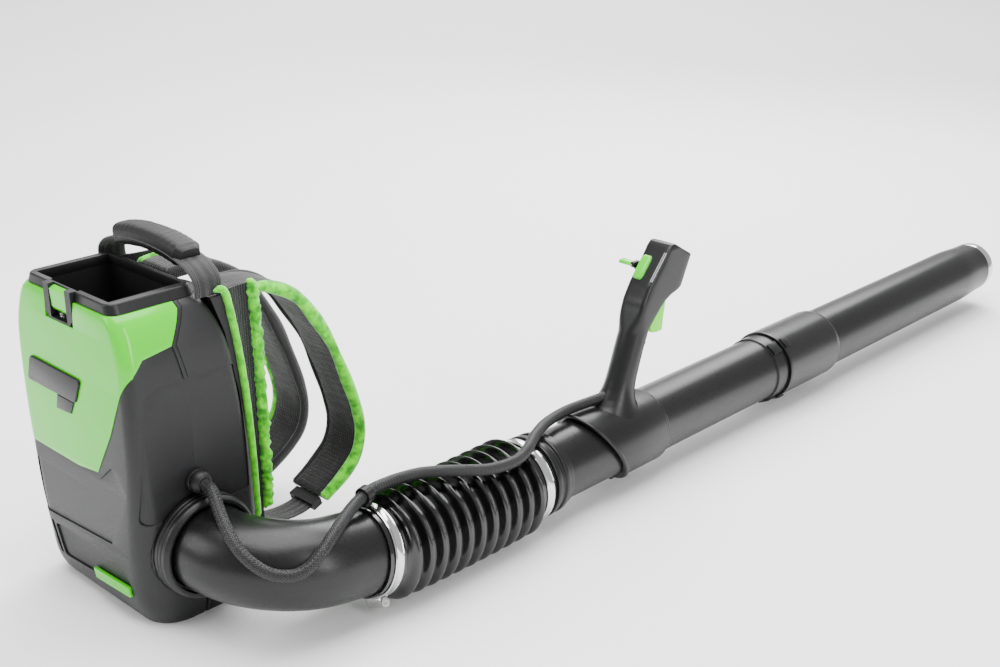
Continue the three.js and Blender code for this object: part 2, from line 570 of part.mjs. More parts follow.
// ---- wand: its own +Y runs down the tube, and its origin is on the axis at the front hose clamp ----
function buildWand() {
  const y = [0, 0, 0];
  const bore = tube.outer - tube.wall;
  const c = bellows.cuff / 2;
  const slip = tube.outer + socket.clearance;
  part('hose_coupler', turned([[bore, -c + 2], [elbow.outer, -c + 2], [elbow.outer, c + 1], [51.5, c + 1.5],
    [51.5, c + 9], [48.6, c + 10], [48.6, c + 16], [51, c + 17], [51, c + 23], [48, c + 25], [48, c + 34], [slip, c + 34],
    [slip, wand.rearEnd - GAP], [bore, wand.rearEnd - GAP]], 'y', y), 'black', wandGroup);
  const join1 = wand.sleeveEnd - wand.spigot;
  part('rear_tube', pipe(tube.outer, bore, wand.rearEnd, join1 - 3, 'y', y), 'black', wandGroup);

  const s1 = wand.sleeveEnd;
  const [top, low, r] = [wand.sleeveTop, wand.sleeveBottom, socket.outer];
  const slant = alongX([[top - 90, 3 * r], [2 * top - low, 3 * r], [2 * low - top, -3 * r], [top - 90, -3 * r]], -60, 60);
  const lug = box(-7, 7, low - 1, low + 17, -r - 3, -r + 2);
  const sleeve = join(cut(pipe(r, slip, top, s1, 'y', y), slant), lug);
  part('handle_sleeve', sleeve, 'black', wandGroup);

  const f0 = join1;
  const f1 = wand.frontEnd + wand.spigot - 16;
  let front = pipe(tube.outer, bore, f0, f1, 'y', y);
  front = join(front, pipe(tube.outer + 2.2, tube.outer - 1, s1 + GAP, s1 + 5, 'y', y));
  for (const a of [0, 180]) {
    const nub = box(-8, 8, wand.frontEnd - 15, wand.frontEnd - 8, tube.outer - 1, tube.outer + 3.4);
    front = join(front, nub.rotate([0, a + 40, 0]));
  }
  part('front_tube', front, 'black', wandGroup);

  const n0 = wand.frontEnd;
  const n1 = n0 + wand.nozzleSocket;
  const seat = f1 + 3;
  const end = nozzle.end;
  const tipBore = nozzle.ringOuter + 0.35;
  let tubeN = turned([[slip, n0], [socket.outer, n0], [socket.outer, n1 - 3], [tube.outer + 0.4, n1 + 3],
    [tube.outer, end - nozzle.taper], [nozzle.tip, end - 8], [nozzle.tip, end], [tipBore, end], [tipBore, end - 14],
    [bore - 4.5, end - 16], [bore - 1, end - nozzle.taper], [bore, seat], [slip, seat]], 'y', y);
  for (const a of [0, 180]) {
    const hook = join(box(-4, 4, n0 - 20, n0 + 6, tube.outer + 1, socket.outer - 0.3),
      box(-14, 4, n0 - 24, n0 - 18, tube.outer + 1, socket.outer - 0.3));
    tubeN = join(tubeN, hook.rotate([0, a + 60, 0]));
  }
  part('nozzle', tubeN, 'black', wandGroup);
  const ringIn = nozzle.ringOuter - nozzle.ringWall;
  part('nozzle_ring', pipe(nozzle.ringOuter, ringIn, end - 13.5, end + nozzle.ringOut, 'y', y), 'steel', wandGroup);
}

// ---- control handle, in the wand's frame ----
const base = socket.outer;
const headOutline = [[196, base + 92], [205, base + 128], [216, base + 147], [254, base + 190], [264, base + 193],
  [302, base + 171], [283, base + 131], [265, base + 127], [249, base + 112], [240, base + 98], [234, base + 79],
  [224, base + 74]];

function handleBody(inset) {
  const points = headOutline.map(([y, z]) => new THREE.Vector2(y, z));
  const bevel = grip.bevel;
  const half = grip.halfX - inset;
  const g = new THREE.ExtrudeGeometry(new THREE.Shape(points), {
    depth: 2 * (half - bevel), bevelEnabled: true, bevelThickness: bevel, bevelSize: bevel,
    bevelOffset: -bevel - inset, bevelSegments: 2,
  });
  const turn = new THREE.Matrix4().set(0, 0, 1, bevel - half, 1, 0, 0, 0, 0, 1, 0, 0, 0, 0, 0, 1);
  const r = grip.stemRadius - inset;
  const stemProfile = [[0, -8], [r + 9, -8], [r + 8, 4], [r + 3, 13], [r, 25], [r, 134], [0, 134]];
  const stem = turned(stemProfile, 'z', [0, 0, 0], ROUND, true);
  return join(solid(g.applyMatrix4(turn)), stem.rotate([-grip.lean, 0, 0]).translate(0, grip.stemFoot, base - 12));
}

const button = [-7, -6, 0];
const rearFace = { y: 235, z: base + 168.5, lean: Math.atan2(43, 38) / DEG };

// Puts a piece made about the origin, with +Z out of the rear face, onto the handle's rear face.
const onRearFace = (body) => body.rotate([rearFace.lean, 0, 0]).translate(0, rearFace.y, rearFace.z);

function stadium(halfX, halfY, z0, z1) {
  const shape = new THREE.Shape();
  for (let i = 0; i < 16; i++) {
    const a = (i / 16) * 2 * Math.PI + Math.PI / 16;
    const v = halfX * Math.sin(a) + Math.sign(Math.sin(a)) * (halfY - halfX);
    if (i === 0) shape.moveTo(halfX * Math.cos(a), v); else shape.lineTo(halfX * Math.cos(a), v);
  }
  return solid(new THREE.ExtrudeGeometry(shape, { depth: z1 - z0, bevelEnabled: false }).translate(0, 0, z0));
}

function buildHandle() {
  const seat = rod(socket.outer + GAP, -100, 600, 'y', [0, 0, 0], ROUND);
  const hollow = handleBody(grip.wall);
  const pin = [0, trigger.pivotY, trigger.pivotZ];
  const slot = box(-trigger.halfX - 0.7, trigger.halfX + 0.7, 222, 290, 119, trigger.pivotZ + 7);
  const buttonHole = onRearFace(stadium(7.3, 17.1, -12, 20).translate(...button));
  const pinHole = rod(2.6, -12, 12, 'x', pin, 12);
  const whole = cut(handleBody(0), hollow, seat, slot, buttonHole, pinHole);
  const half = (s) => whole.intersect(box(s > 0 ? 0.15 : -60, s > 0 ? 60 : -0.15, 0, 500, 0, 400));
  part('handle_left', half(-1), 'black', wandGroup);
  part('handle_right', half(1), 'black', wandGroup);

  const outline = [[238, 173], [234, 158], [234, 134], [238, 127], [259, 125.5], [260.5, 142], [264, 162], [261, 169],
    [252, 175]];
  const lever = cut(alongX(outline, -trigger.halfX, trigger.halfX), rod(2.3, -20, 20, 'x', pin, 12));
  part('trigger', lever, 'lime', wandGroup);
  part('trigger_pin', rod(2.2, -11.5, 11.5, 'x', pin, 12), 'steel', wandGroup);
  part('trigger_spring', coil(2.4, 0.6, 3, 7, [0, 225, 146], [0, 1, 0.1]), 'steel', wandGroup);
  part('trigger_switch', box(-9, 9, 203, 220, 136, 158), 'black', wandGroup);

  part('boost_button', onRearFace(stadium(6.7, 16.5, -6, 3.4).translate(...button)), 'lime', wandGroup);
  const buttonCoil = coil(3, 0.6, 3, 7, [0, 0, -14.2], [0, 0, 1]).translate(...button);
  part('button_spring', onRearFace(buttonCoil), 'steel', wandGroup);
  const pivot = { y: 243, z: base + 160, x: -grip.halfX - GAP };
  const hub = rod(6, -7, 0, 'x', [pivot.x, pivot.y, pivot.z], 16);
  const paddle = box(pivot.x - 26, pivot.x - 0.5, pivot.y - 14, pivot.y - 2, pivot.z + 1.5, pivot.z + 6.5);
  part('speed_lever', join(hub, paddle), 'lime', wandGroup);
}

// ---- control cable, clipped at the rear clamp and held by the gland and the handle ----
const glandEnd = housing.halfX + gland.length;
const cableRoute = [[glandEnd + 0.6, gland.y, gland.z], [139, -14.6, 161.6], [151, -18.5, 154.5], [164, -23, 146.5],
  [179, -27.5, 138.5], [196, -31.5, 130], [211, -31, 120.5], [225, -26, 111.5], [237, -18, 104.5], [246, -8, 101.5],
  [253, 4, 101.5], [257, 18, 107], [255, 37, 117.8], [247.5, 57, 125.2], [237, 78, 129], [227, 99, 131.5],
  [221, 118, 134], [217.5, 135, 135.3], [215, 155, 133.8], [215.5, 175, 132.9], [222, 200, 132.4], [234, 222, 131],
  [246, 246, 127.4], [256, 272, 122.8], [259.5, 300, 120.4], [258.5, 321, 121], [252, 342, 124.3], [241, 362, 125.8],
  [229, 385, 124.2], [217, 409, 121], [208.5, 435, 118.5], [205.5, 457, 118.2], [206, 475, 118.4], [208, 492, 118.8],
  [210.5, 505, 119.4]];
const cableSplits = { clip: 17, middle: 22 };    // the route's points where a hose joint bends it

class Stretch extends THREE.Curve {
  constructor(whole, from, to) {
    super();
    Object.assign(this, { whole, from, to });
  }
  getPoint(t, target = new THREE.Vector3()) {
    return this.whole.getPoint(this.from + (this.to - this.from) * t, target);
  }
}

function buildCable() {
  const whole = new THREE.CatmullRomCurve3(cableRoute.map((p) => new THREE.Vector3(...p)));
  const last = cableRoute.length - 1;
  const gap = 0.012 / last;
  const ends = [0, cableSplits.clip / last, cableSplits.middle / last, 1];
  for (const [i, name] of ['cable_rear', 'cable_mid', 'cable_front'].entries()) {
    const path = new Stretch(whole, ends[i] + (i > 0 ? gap : 0), ends[i + 1] - (i < 2 ? gap : 0));
    const steps = Math.round(path.getLength() / (3 * cable.radius));
    const tubeG = new THREE.ExtrudeGeometry(circle(cable.radius, 10), { steps, extrudePath: path, bevelEnabled: false });
    part(name, solid(tubeG), 'rubber');
  }
  const ring = pipe(cable.radius + 3.2, cable.radius + 0.5, -5, 5, 'y', [0, 0, 0], 16);
  const foot = box(-4.5, 4.5, -5, 5, -16, -cable.radius - 2);
  const clip = join(ring, foot).rotate([4, 0, 12]).translate(220.2, 121.5, 134.4);
  const keep = onHose(rod(bellows.root + 2 + band.slack + band.thickness + GAP, -20, 20, 'y', [0, 0, 0], ROUND),
    elbowEnd.clone().addScaledVector(down, -bellows.cuff / 2), down);
  part('cable_clip', cut(clip, keep), 'rubber');
}

buildShells();
buildTop();
buildLatch();
buildTrim();
buildFan();
buildElectronics();
buildCollar();
buildBack();
buildStraps();
buildCarryHandle();
buildElbow();
buildHose();
buildWand();
buildHandle();
buildCable();

wandGroup.position.copy(wandStart);
blower.add(wandGroup);

export default blower;
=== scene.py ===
import bpy
import json
import math
import numpy as np
from mathutils import Matrix, Vector, noise

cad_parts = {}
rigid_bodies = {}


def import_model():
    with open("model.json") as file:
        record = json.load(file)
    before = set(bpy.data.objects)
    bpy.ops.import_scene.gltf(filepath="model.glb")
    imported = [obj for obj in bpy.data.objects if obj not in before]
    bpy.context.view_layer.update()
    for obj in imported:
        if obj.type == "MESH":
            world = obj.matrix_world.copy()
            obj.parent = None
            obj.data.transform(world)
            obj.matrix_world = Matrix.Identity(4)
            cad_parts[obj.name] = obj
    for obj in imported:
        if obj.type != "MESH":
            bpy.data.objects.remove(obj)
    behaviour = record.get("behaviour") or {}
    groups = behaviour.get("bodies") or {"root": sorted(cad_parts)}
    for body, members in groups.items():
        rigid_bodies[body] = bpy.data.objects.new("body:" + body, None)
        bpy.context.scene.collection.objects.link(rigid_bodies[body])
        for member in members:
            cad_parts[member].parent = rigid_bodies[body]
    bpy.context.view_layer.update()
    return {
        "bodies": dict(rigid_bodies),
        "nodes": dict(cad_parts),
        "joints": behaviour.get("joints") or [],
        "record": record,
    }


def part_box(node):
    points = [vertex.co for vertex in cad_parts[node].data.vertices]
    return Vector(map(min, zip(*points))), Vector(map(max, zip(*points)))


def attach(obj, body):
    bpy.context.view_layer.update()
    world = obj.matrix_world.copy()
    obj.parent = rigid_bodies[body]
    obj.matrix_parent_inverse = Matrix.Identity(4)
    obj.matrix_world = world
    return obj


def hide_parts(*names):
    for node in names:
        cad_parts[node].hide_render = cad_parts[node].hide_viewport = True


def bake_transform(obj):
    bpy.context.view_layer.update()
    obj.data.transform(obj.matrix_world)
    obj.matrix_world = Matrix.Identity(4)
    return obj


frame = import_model()
mm = 0.001
print("stage: frame loaded")


# small tools
def activate(piece):
    bpy.ops.object.select_all(action="DESELECT")
    piece.select_set(True)
    bpy.context.view_layer.objects.active = piece


def named(name):
    piece = bpy.context.object
    piece.name = name
    piece.data.name = name
    return piece


def edited(piece, *steps):
    activate(piece)
    bpy.ops.object.mode_set(mode="EDIT")
    bpy.ops.mesh.select_all(action="SELECT")
    for step in steps:
        step()
    bpy.ops.object.mode_set(mode="OBJECT")
    return piece


def facingOut():
    bpy.ops.mesh.select_all(action="SELECT")
    bpy.ops.mesh.normals_make_consistent(inside=False)


def extruded(name, points, shift, ends=None):
    bpy.ops.object.select_all(action="DESELECT")
    bpy.ops.mesh.primitive_circle_add(vertices=len(points), fill_type="NGON")
    piece = named(name)
    for vertex, point in zip(piece.data.vertices, points):
        vertex.co = Vector(point) * mm
    edited(piece, lambda: bpy.ops.mesh.extrude_region_move(
        TRANSFORM_OT_translate={"value": Vector(shift) * mm}))
    if ends:
        starts = [(Vector(p) + Vector(shift)) * mm for p in points]
        for vertex in piece.data.vertices:
            near = min(range(len(starts)), key=lambda k: (starts[k] - vertex.co).length)
            if (starts[near] - vertex.co).length < 1e-6:
                vertex.co = Vector(ends[near]) * mm
    return edited(piece, facingOut)


def alongX(name, outline, x0, x1):
    return extruded(name, [(x0, y, z) for y, z in outline], (x1 - x0, 0, 0))


def alongY(name, outline, y0, y1):
    return extruded(name, [(x, y0, z) for x, z in outline], (0, y1 - y0, 0))


# A grid whose points are placed by a rule: u runs round, v runs along.
def surface(name, around, length, place, closed=True, capped=True):
    bpy.ops.object.select_all(action="DESELECT")
    bpy.ops.mesh.primitive_grid_add(x_subdivisions=around, y_subdivisions=length)
    piece = named(name)
    points = [place(i / around, j / length) for j in range(length + 1) for i in range(around + 1)]
    piece.data.vertices.foreach_set("co", (np.array(points, dtype=float) * mm).ravel())
    steps = []
    if closed:
        steps.append(lambda: bpy.ops.mesh.remove_doubles(threshold=1e-6))
    if capped:
        steps.append(lambda: bpy.ops.mesh.fill_holes(sides=0))
    return edited(piece, *steps, facingOut)


# A closed outline of [radius, station] turned about an axis.
def turned(name, profile, at, axis="Y", steps=72):
    bpy.ops.object.select_all(action="DESELECT")
    bpy.ops.mesh.primitive_circle_add(vertices=len(profile), fill_type="NOTHING")
    piece = named(name)
    way = {"X": Vector((1, 0, 0)), "Y": Vector((0, 1, 0)), "Z": Vector((0, 0, 1))}[axis]
    side = Vector((0, 0, 1)) if axis != "Z" else Vector((1, 0, 0))
    for vertex, (radius, station) in zip(piece.data.vertices, profile):
        vertex.co = (Vector(at) + way * station + side * radius) * mm
    return edited(piece, lambda: bpy.ops.mesh.spin(steps=steps, angle=2 * math.pi, center=Vector(at) * mm, axis=way),
                  lambda: (bpy.ops.mesh.select_all(action="SELECT"), bpy.ops.mesh.remove_doubles(threshold=2e-6)),
                  facingOut)


def carve(piece, tool, operation="DIFFERENCE", keep=False):
    cutter = piece.modifiers.new("carve", "BOOLEAN")
    cutter.operation = operation
    cutter.solver = "MANIFOLD"
    cutter.object = tool
    activate(piece)
    bpy.ops.object.modifier_apply(modifier=cutter.name)
    if not keep:
        bpy.data.objects.remove(tool)
    return piece


def softened(piece, width, segments=2, angle=32, smooth=36):
    edge = piece.modifiers.new("edge", "BEVEL")
    edge.width = width * mm
    edge.segments = segments
    edge.limit_method = "ANGLE"
    edge.angle_limit = math.radians(angle)
    edge.use_clamp_overlap = True
    activate(piece)
    bpy.ops.object.modifier_apply(modifier=edge.name)
    return smoothed(piece, smooth)


def smoothed(piece, angle=36):
    activate(piece)
    bpy.ops.object.shade_smooth_by_angle(angle=math.radians(angle))
    return piece


# Evenly spaced points on a smooth line through the given ones, with a direction and two sideways ways.
def route(points, count, up=(0, 0, 1)):
    p = [Vector(q) for q in points]
    p = [p[0] * 2 - p[1]] + p + [p[-1] * 2 - p[-2]]
    dense = []
    for k in range(1, len(p) - 2):
        for step in range(24):
            t = step / 24
            a, b, c, d = p[k - 1:k + 3]
            dense.append(0.5 * ((2 * b) + (c - a) * t + (2 * a - 5 * b + 4 * c - d) * t * t
                                + (3 * b - a - 3 * c + d) * t ** 3))
    dense.append(p[-2])
    far = [0.0]
    for a, b in zip(dense, dense[1:]):
        far.append(far[-1] + (b - a).length)
    line = []
    k = 0
    for i in range(count + 1):
        want = far[-1] * i / count
        while k < len(far) - 2 and far[k + 1] < want:
            k += 1
        line.append(dense[k].lerp(dense[k + 1], (want - far[k]) / max(far[k + 1] - far[k], 1e-9)))
    frames = []
    side = None
    for i, point in enumerate(line):
        way = (line[min(i + 1, count)] - line[max(i - 1, 0)]).normalized()
        if side is None:
            side = Vector(up).cross(way).normalized()
        side = (side - way * side.dot(way)).normalized()
        frames.append((point, way, side, way.cross(side)))
    return frames, far[-1]


def swept(name, line, around, section, capped=True):
    count = len(line) - 1

    def place(u, v):
        point, way, side, top = line[round(v * count)]
        a, b = section(u, v)
        return point + side * a + top * b
    return surface(name, around, count, place, True, capped)


def rounded(u, halfWide, halfThick, power=3.0):
    a = 2 * math.pi * u
    c, s = math.cos(a), math.sin(a)
    return (halfWide * math.copysign(abs(c) ** (2 / power), c), halfThick * math.copysign(abs(s) ** (2 / power), s))


# materials
def colour(code):
    parts = [int(code[i:i + 2], 16) / 255 for i in (1, 3, 5)]
    return tuple(c / 12.92 if c <= 0.04045 else ((c + 0.055) / 1.055) ** 2.4 for c in parts) + (1.0,)


def add(tree, kind, links=None, **settings):
    made = tree.nodes.new(kind)
    for key, value in settings.items():
        setattr(made, key, value)
    for socket, value in (links or {}).items():
        if isinstance(value, bpy.types.NodeSocket):
            tree.links.new(value, made.inputs[socket])
        else:
            made.inputs[socket].default_value = value
    return made


def blank(name):
    material = bpy.data.materials.new(name)
    material.use_nodes = True
    tree = material.node_tree
    return material, tree, tree.nodes["Principled BSDF"]


# Moulded plastic and rubber: two close shades in slow patches, fine grain in gloss and relief.
def moulded(name, shade, other, rough, spread, grain, relief, coat=0.0, ior=1.4, patch=45.0):
    material, tree, shader = blank(name)
    at = add(tree, "ShaderNodeTexCoord").outputs["Object"]
    slow = add(tree, "ShaderNodeTexNoise", {"Vector": at, "Scale": 1000 / patch, "Detail": 3.0})
    fine = add(tree, "ShaderNodeTexNoise", {"Vector": at, "Scale": 1000 / grain, "Detail": 2.0, "Roughness": 0.6})
    tone = add(tree, "ShaderNodeMixRGB", {"Fac": slow.outputs["Fac"], "Color1": colour(shade), "Color2": colour(other)})
    gloss = add(tree, "ShaderNodeMapRange", {"Value": fine.outputs["Fac"], "From Min": 0.3, "From Max": 0.7,
                                             "To Min": rough - spread, "To Max": rough + spread})
    bump = add(tree, "ShaderNodeBump", {"Height": fine.outputs["Fac"], "Strength": 0.5, "Distance": relief * mm})
    tree.links.new(tone.outputs[0], shader.inputs["Base Color"])
    tree.links.new(gloss.outputs[0], shader.inputs["Roughness"])
    tree.links.new(bump.outputs[0], shader.inputs["Normal"])
    shader.inputs["IOR"].default_value = ior
    shader.inputs["Coat Weight"].default_value = coat
    shader.inputs["Coat Roughness"].default_value = 0.12
    return material


def steel(name, shade, rough, stretch):
    material, tree, shader = blank(name)
    at = add(tree, "ShaderNodeTexCoord").outputs["Object"]
    long = add(tree, "ShaderNodeMapping", {"Vector": at, "Scale": stretch})
    lines = add(tree, "ShaderNodeTexNoise", {"Vector": long.outputs[0], "Scale": 900.0, "Detail": 3.0})
    gloss = add(tree, "ShaderNodeMapRange", {"Value": lines.outputs["Fac"], "To Min": rough * 0.6,
                                             "To Max": rough * 1.5})
    bump = add(tree, "ShaderNodeBump", {"Height": lines.outputs["Fac"], "Strength": 0.15, "Distance": 0.05 * mm})
    tree.links.new(gloss.outputs[0], shader.inputs["Roughness"])
    tree.links.new(bump.outputs[0], shader.inputs["Normal"])
    shader.inputs["Base Color"].default_value = colour(shade)
    shader.inputs["Metallic"].default_value = 1.0
    return material


# Cloth with a thread grid that follows the piece's own UV map: across and along are threads on the whole piece.
def woven(name, shade, high, across, along, relief, sheen=0.4, slant=False):
    material, tree, shader = blank(name)
    uv = add(tree, "ShaderNodeTexCoord").outputs["UV"]
    turn = (0, 0, math.radians(45)) if slant else (0, 0, 0)
    scaled = add(tree, "ShaderNodeMapping", {"Vector": uv, "Scale": (across, along, 1.0)})
    laid = add(tree, "ShaderNodeMapping", {"Vector": scaled.outputs[0], "Rotation": turn})
    one = add(tree, "ShaderNodeTexWave", {"Vector": laid.outputs[0], "Scale": 0.3183, "Distortion": 0.4,
                                          "Detail Scale": 3.0}, bands_direction="X")
    two = add(tree, "ShaderNodeTexWave", {"Vector": laid.outputs[0], "Scale": 0.3183, "Distortion": 0.4,
                                          "Detail Scale": 3.0}, bands_direction="Y")
    both = add(tree, "ShaderNodeMath", {0: one.outputs["Fac"], 1: two.outputs["Fac"]}, operation="MULTIPLY")
    at = add(tree, "ShaderNodeTexCoord").outputs["Object"]
    fuzz = add(tree, "ShaderNodeTexNoise", {"Vector": at, "Scale": 700.0, "Detail": 4.0})
    height = add(tree, "ShaderNodeMath", {0: both.outputs[0], 1: fuzz.outputs["Fac"]}, operation="ADD")
    # raised thread crossings take the lighter tone and the gaps between threads the darker one: painted highlight and
    # painted shade on the weave
    tone = add(tree, "ShaderNodeMixRGB", {"Fac": both.outputs[0], "Color1": colour(shade), "Color2": colour(high)})
    bump = add(tree, "ShaderNodeBump", {"Height": height.outputs[0], "Strength": 0.8, "Distance": relief * mm})
    tree.links.new(tone.outputs[0], shader.inputs["Base Color"])
    tree.links.new(bump.outputs[0], shader.inputs["Normal"])
    shader.inputs["Roughness"].default_value = 0.85
    shader.inputs["Sheen Weight"].default_value = sheen
    shader.inputs["Sheen Roughness"].default_value = 0.5
    return material


# Knitted spacer mesh: small round holes at even spacing, darkened by painted shade.
def spacerMesh(name, shade, paintedShadeTone, spacing, relief):
    material, tree, shader = blank(name)
    at = add(tree, "ShaderNodeTexCoord").outputs["Object"]
    cells = add(tree, "ShaderNodeTexVoronoi", {"Vector": at, "Scale": 1000 / spacing, "Randomness": 0.25})
    folds = add(tree, "ShaderNodeTexNoise", {"Vector": at, "Scale": 26.0, "Detail": 4.0})
    near = add(tree, "ShaderNodeMapRange", {"Value": cells.outputs["Distance"], "From Min": 0.1, "From Max": 0.55})
    # the holes take the darker tone: painted shade in the recesses of the knit
    tone = add(tree, "ShaderNodeMixRGB", {"Fac": near.outputs[0], "Color1": colour(paintedShadeTone), "Color2": colour(shade)})
    small = add(tree, "ShaderNodeBump", {"Height": near.outputs[0], "Strength": 0.7, "Distance": relief * mm})
    large = add(tree, "ShaderNodeBump", {"Height": folds.outputs["Fac"], "Strength": 0.6, "Distance": 6 * mm,
                                         "Normal": small.outputs[0]})
    tree.links.new(tone.outputs[0], shader.inputs["Base Color"])
    tree.links.new(large.outputs[0], shader.inputs["Normal"])
    shader.inputs["Roughness"].default_value = 0.9
    shader.inputs["Sheen Weight"].default_value = 0.35
    shader.inputs["Sheen Roughness"].default_value = 0.45
    return material


def fleece(name, shade, paintedShadeTone, bright):
    material, tree, shader = blank(name)
    at = add(tree, "ShaderNodeTexCoord").outputs["Object"]
    pile = add(tree, "ShaderNodeTexNoise", {"Vector": at, "Scale": 420.0, "Detail": 6.0, "Roughness": 0.7})
    folds = add(tree, "ShaderNodeTexNoise", {"Vector": at, "Scale": 90.0, "Detail": 3.0})
    # colour follows the same fold noise as the bump: painted shade in the folds, painted highlight on the crests
    tone = add(tree, "ShaderNodeValToRGB", {"Fac": folds.outputs["Fac"]})
    tone.color_ramp.elements[0].position, tone.color_ramp.elements[0].color = 0.36, colour(paintedShadeTone)
    tone.color_ramp.elements[1].position, tone.color_ramp.elements[1].color = 0.62, colour(bright)
    middle = tone.color_ramp.elements.new(0.48)
    middle.color = colour(shade)
    height = add(tree, "ShaderNodeMath", {0: pile.outputs["Fac"], 1: folds.outputs["Fac"]}, operation="ADD")
    bump = add(tree, "ShaderNodeBump", {"Height": height.outputs[0], "Strength": 0.9, "Distance": 1.2 * mm})
    tree.links.new(tone.outputs[0], shader.inputs["Base Color"])
    tree.links.new(bump.outputs[0], shader.inputs["Normal"])
    shader.inputs["Roughness"].default_value = 0.95
    shader.inputs["Sheen Weight"].default_value = 0.6
    shader.inputs["Sheen Roughness"].default_value = 0.4
    return material


# Braided sleeve over a corrugated tube: glossy crossed strands with black gaps between them, the black of the tube
# beneath deepened by painted shade.
def braid(name, strand, gapShadeTone, around, along):
    material, tree, shader = blank(name)
    uv = add(tree, "ShaderNodeTexCoord").outputs["UV"]
    scaled = add(tree, "ShaderNodeMapping", {"Vector": uv, "Scale": (around, along, 1.0)})
    waves = []
    for degrees in (45, -45):
        laid = add(tree, "ShaderNodeMapping", {"Vector": scaled.outputs[0], "Rotation": (0, 0, math.radians(degrees))})
        waves.append(add(tree, "ShaderNodeTexWave", {"Vector": laid.outputs[0], "Scale": 0.45}, bands_direction="X"))
    lattice = add(tree, "ShaderNodeMath", {0: waves[0].outputs["Fac"], 1: waves[1].outputs["Fac"]}, operation="MAXIMUM")
    sharp = add(tree, "ShaderNodeMapRange", {"Value": lattice.outputs[0], "From Min": 0.55, "From Max": 0.95})
    # strands take the lighter tone, the gaps the near-black one: the black tube beneath plus painted shade
    tone = add(tree, "ShaderNodeMixRGB", {"Fac": sharp.outputs[0], "Color1": colour(gapShadeTone), "Color2": colour(strand)})
    gloss = add(tree, "ShaderNodeMapRange", {"Value": sharp.outputs[0], "To Min": 0.7, "To Max": 0.28})
    bump = add(tree, "ShaderNodeBump", {"Height": sharp.outputs[0], "Strength": 0.9, "Distance": 0.7 * mm})
    tree.links.new(tone.outputs[0], shader.inputs["Base Color"])
    tree.links.new(gloss.outputs[0], shader.inputs["Roughness"])
    tree.links.new(bump.outputs[0], shader.inputs["Normal"])
    return material


# gloss ABS: even, bright, with a faint orange peel that wobbles the highlights
limeAbs = moulded("limeGlossAbs", "#3fca00", "#46d200", 0.22, 0.04, 7.0, 0.08, coat=0.2)
# the same ABS, a little yellower in the trigger
limeTrigger = moulded("limeTriggerAbs", "#66e200", "#6fea00", 0.32, 0.05, 5.0, 0.05)
# spark-eroded nylon: the fine grit breaks highlights into a soft grey glow; drawn at 1.4 mm to show
greyNylon = moulded("greyTexturedNylon", "#171718", "#1b1b1d", 0.46, 0.1, 1.4, 0.25, patch=70)
# smoother dark nylon of the rim and badge
satinNylon = moulded("satinDarkNylon", "#111112", "#161617", 0.38, 0.06, 1.6, 0.1)
# plain black nylon inside the bay and at the small black parts: flat, to stay in the shade
blackNylon = moulded("blackNylon", "#0b0b0c", "#101011", 0.5, 0.1, 1.6, 0.15)
# blow-moulded polyethylene tube: satin with long soft highlights
tubePlastic = moulded("tubePolypropylene", "#0c0c0d", "#111112", 0.32, 0.05, 2.4, 0.12, patch=90)
# handle and sleeve: a little smoother than the tube, so its edges catch a thin light line
gripPlastic = moulded("handleNylon", "#0d0d0e", "#121213", 0.34, 0.06, 1.8, 0.1)
# shiny moulded rubber of the bellows
bellowsRubber = moulded("glossyBellowsRubber", "#050505", "#080808", 0.16, 0.04, 3.0, 0.1, coat=0.3, ior=1.52)
# dull rubber of the carry grip and gland, the softest of the blacks
mattRubber = moulded("mattRubber", "#0c0c0c", "#111111", 0.5, 0.08, 1.8, 0.2)
# polished band: near-mirror, with faint rolling lines along the strip
clampSteel = steel("brightStainlessBand", "#d9d9da", 0.13, (1.0, 6.0, 1.0))
# plated screw, duller than the band it tightens
screwSteel = steel("zincPlatedScrew", "#bdbdb8", 0.28, (1.0, 1.0, 1.0))
# turned aluminium, brushed round its axis
motorMetal = steel("machinedAluminium", "#b4b6b8", 0.35, (6.0, 1.0, 1.0))
# green board seen only through gaps
boardLaminate = moulded("circuitLaminate", "#14532d", "#1a6638", 0.45, 0.08, 2.0, 0.05)
# knitted cell mesh with small holes darkened by painted shade
harnessMesh = spacerMesh("blackSpacerMesh", "#0e0e0f", "#020202", 3.2, 0.8)
# brushed fleece, with painted shade (dark green) in its folds and a painted highlight (bright green) on its crests
limeBinding = fleece("limeFleeceBinding", "#4ccc00", "#2c9400", "#6cf000")
# smoother and more even than the binding, with milder painted fold shade and crest highlight
limePiping = fleece("limeSmoothPiping", "#58dc00", "#44bc00", "#68ec00")
# coarse belt weave whose ribs run across the strap, with painted highlight on the raised thread crossings and painted
# shade between them
webCloth = woven("coarseBlackWebbing", "#070707", "#242425", 26.0, 170.0, 0.6)
# painted highlight: pale strips along the edge where the handle halves meet, standing in for a reflected light line
paintedEdgeHighlight = moulded("paintedHighlightLine", "#8f8f92", "#98989b", 0.35, 0.05, 2.0, 0.03)
print("stage: materials")

slotMaterials = {
    "lime_cover": limeAbs, "dark_shell": greyNylon, "black_plastic": blackNylon, "black_tube": tubePlastic,
    "black_rubber": mattRubber, "cable_sleeve": mattRubber, "black_fabric": harnessMesh,
    "bright_steel": screwSteel, "motor_metal": motorMetal, "switch_body": boardLaminate,
}
for entry in frame["record"]["subparts"]:
    node = frame["nodes"][entry["node"]]
    node.data.materials.clear()
    node.data.materials.append(slotMaterials[entry["material_slot"]])
frame["nodes"]["trigger_switch"].data.materials[0] = blackNylon


def fit(piece, body, material, slot, *nodes):
    piece.data.materials.clear()
    piece.data.materials.append(material)
    if body:
        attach(piece, body)
    if nodes:
        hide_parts(*nodes)
    return piece


# camera, lights, floor
view = {"place": (1.2374, -0.7257, 0.820), "heading": 44.0, "down": 20.9, "lens": 50.0}


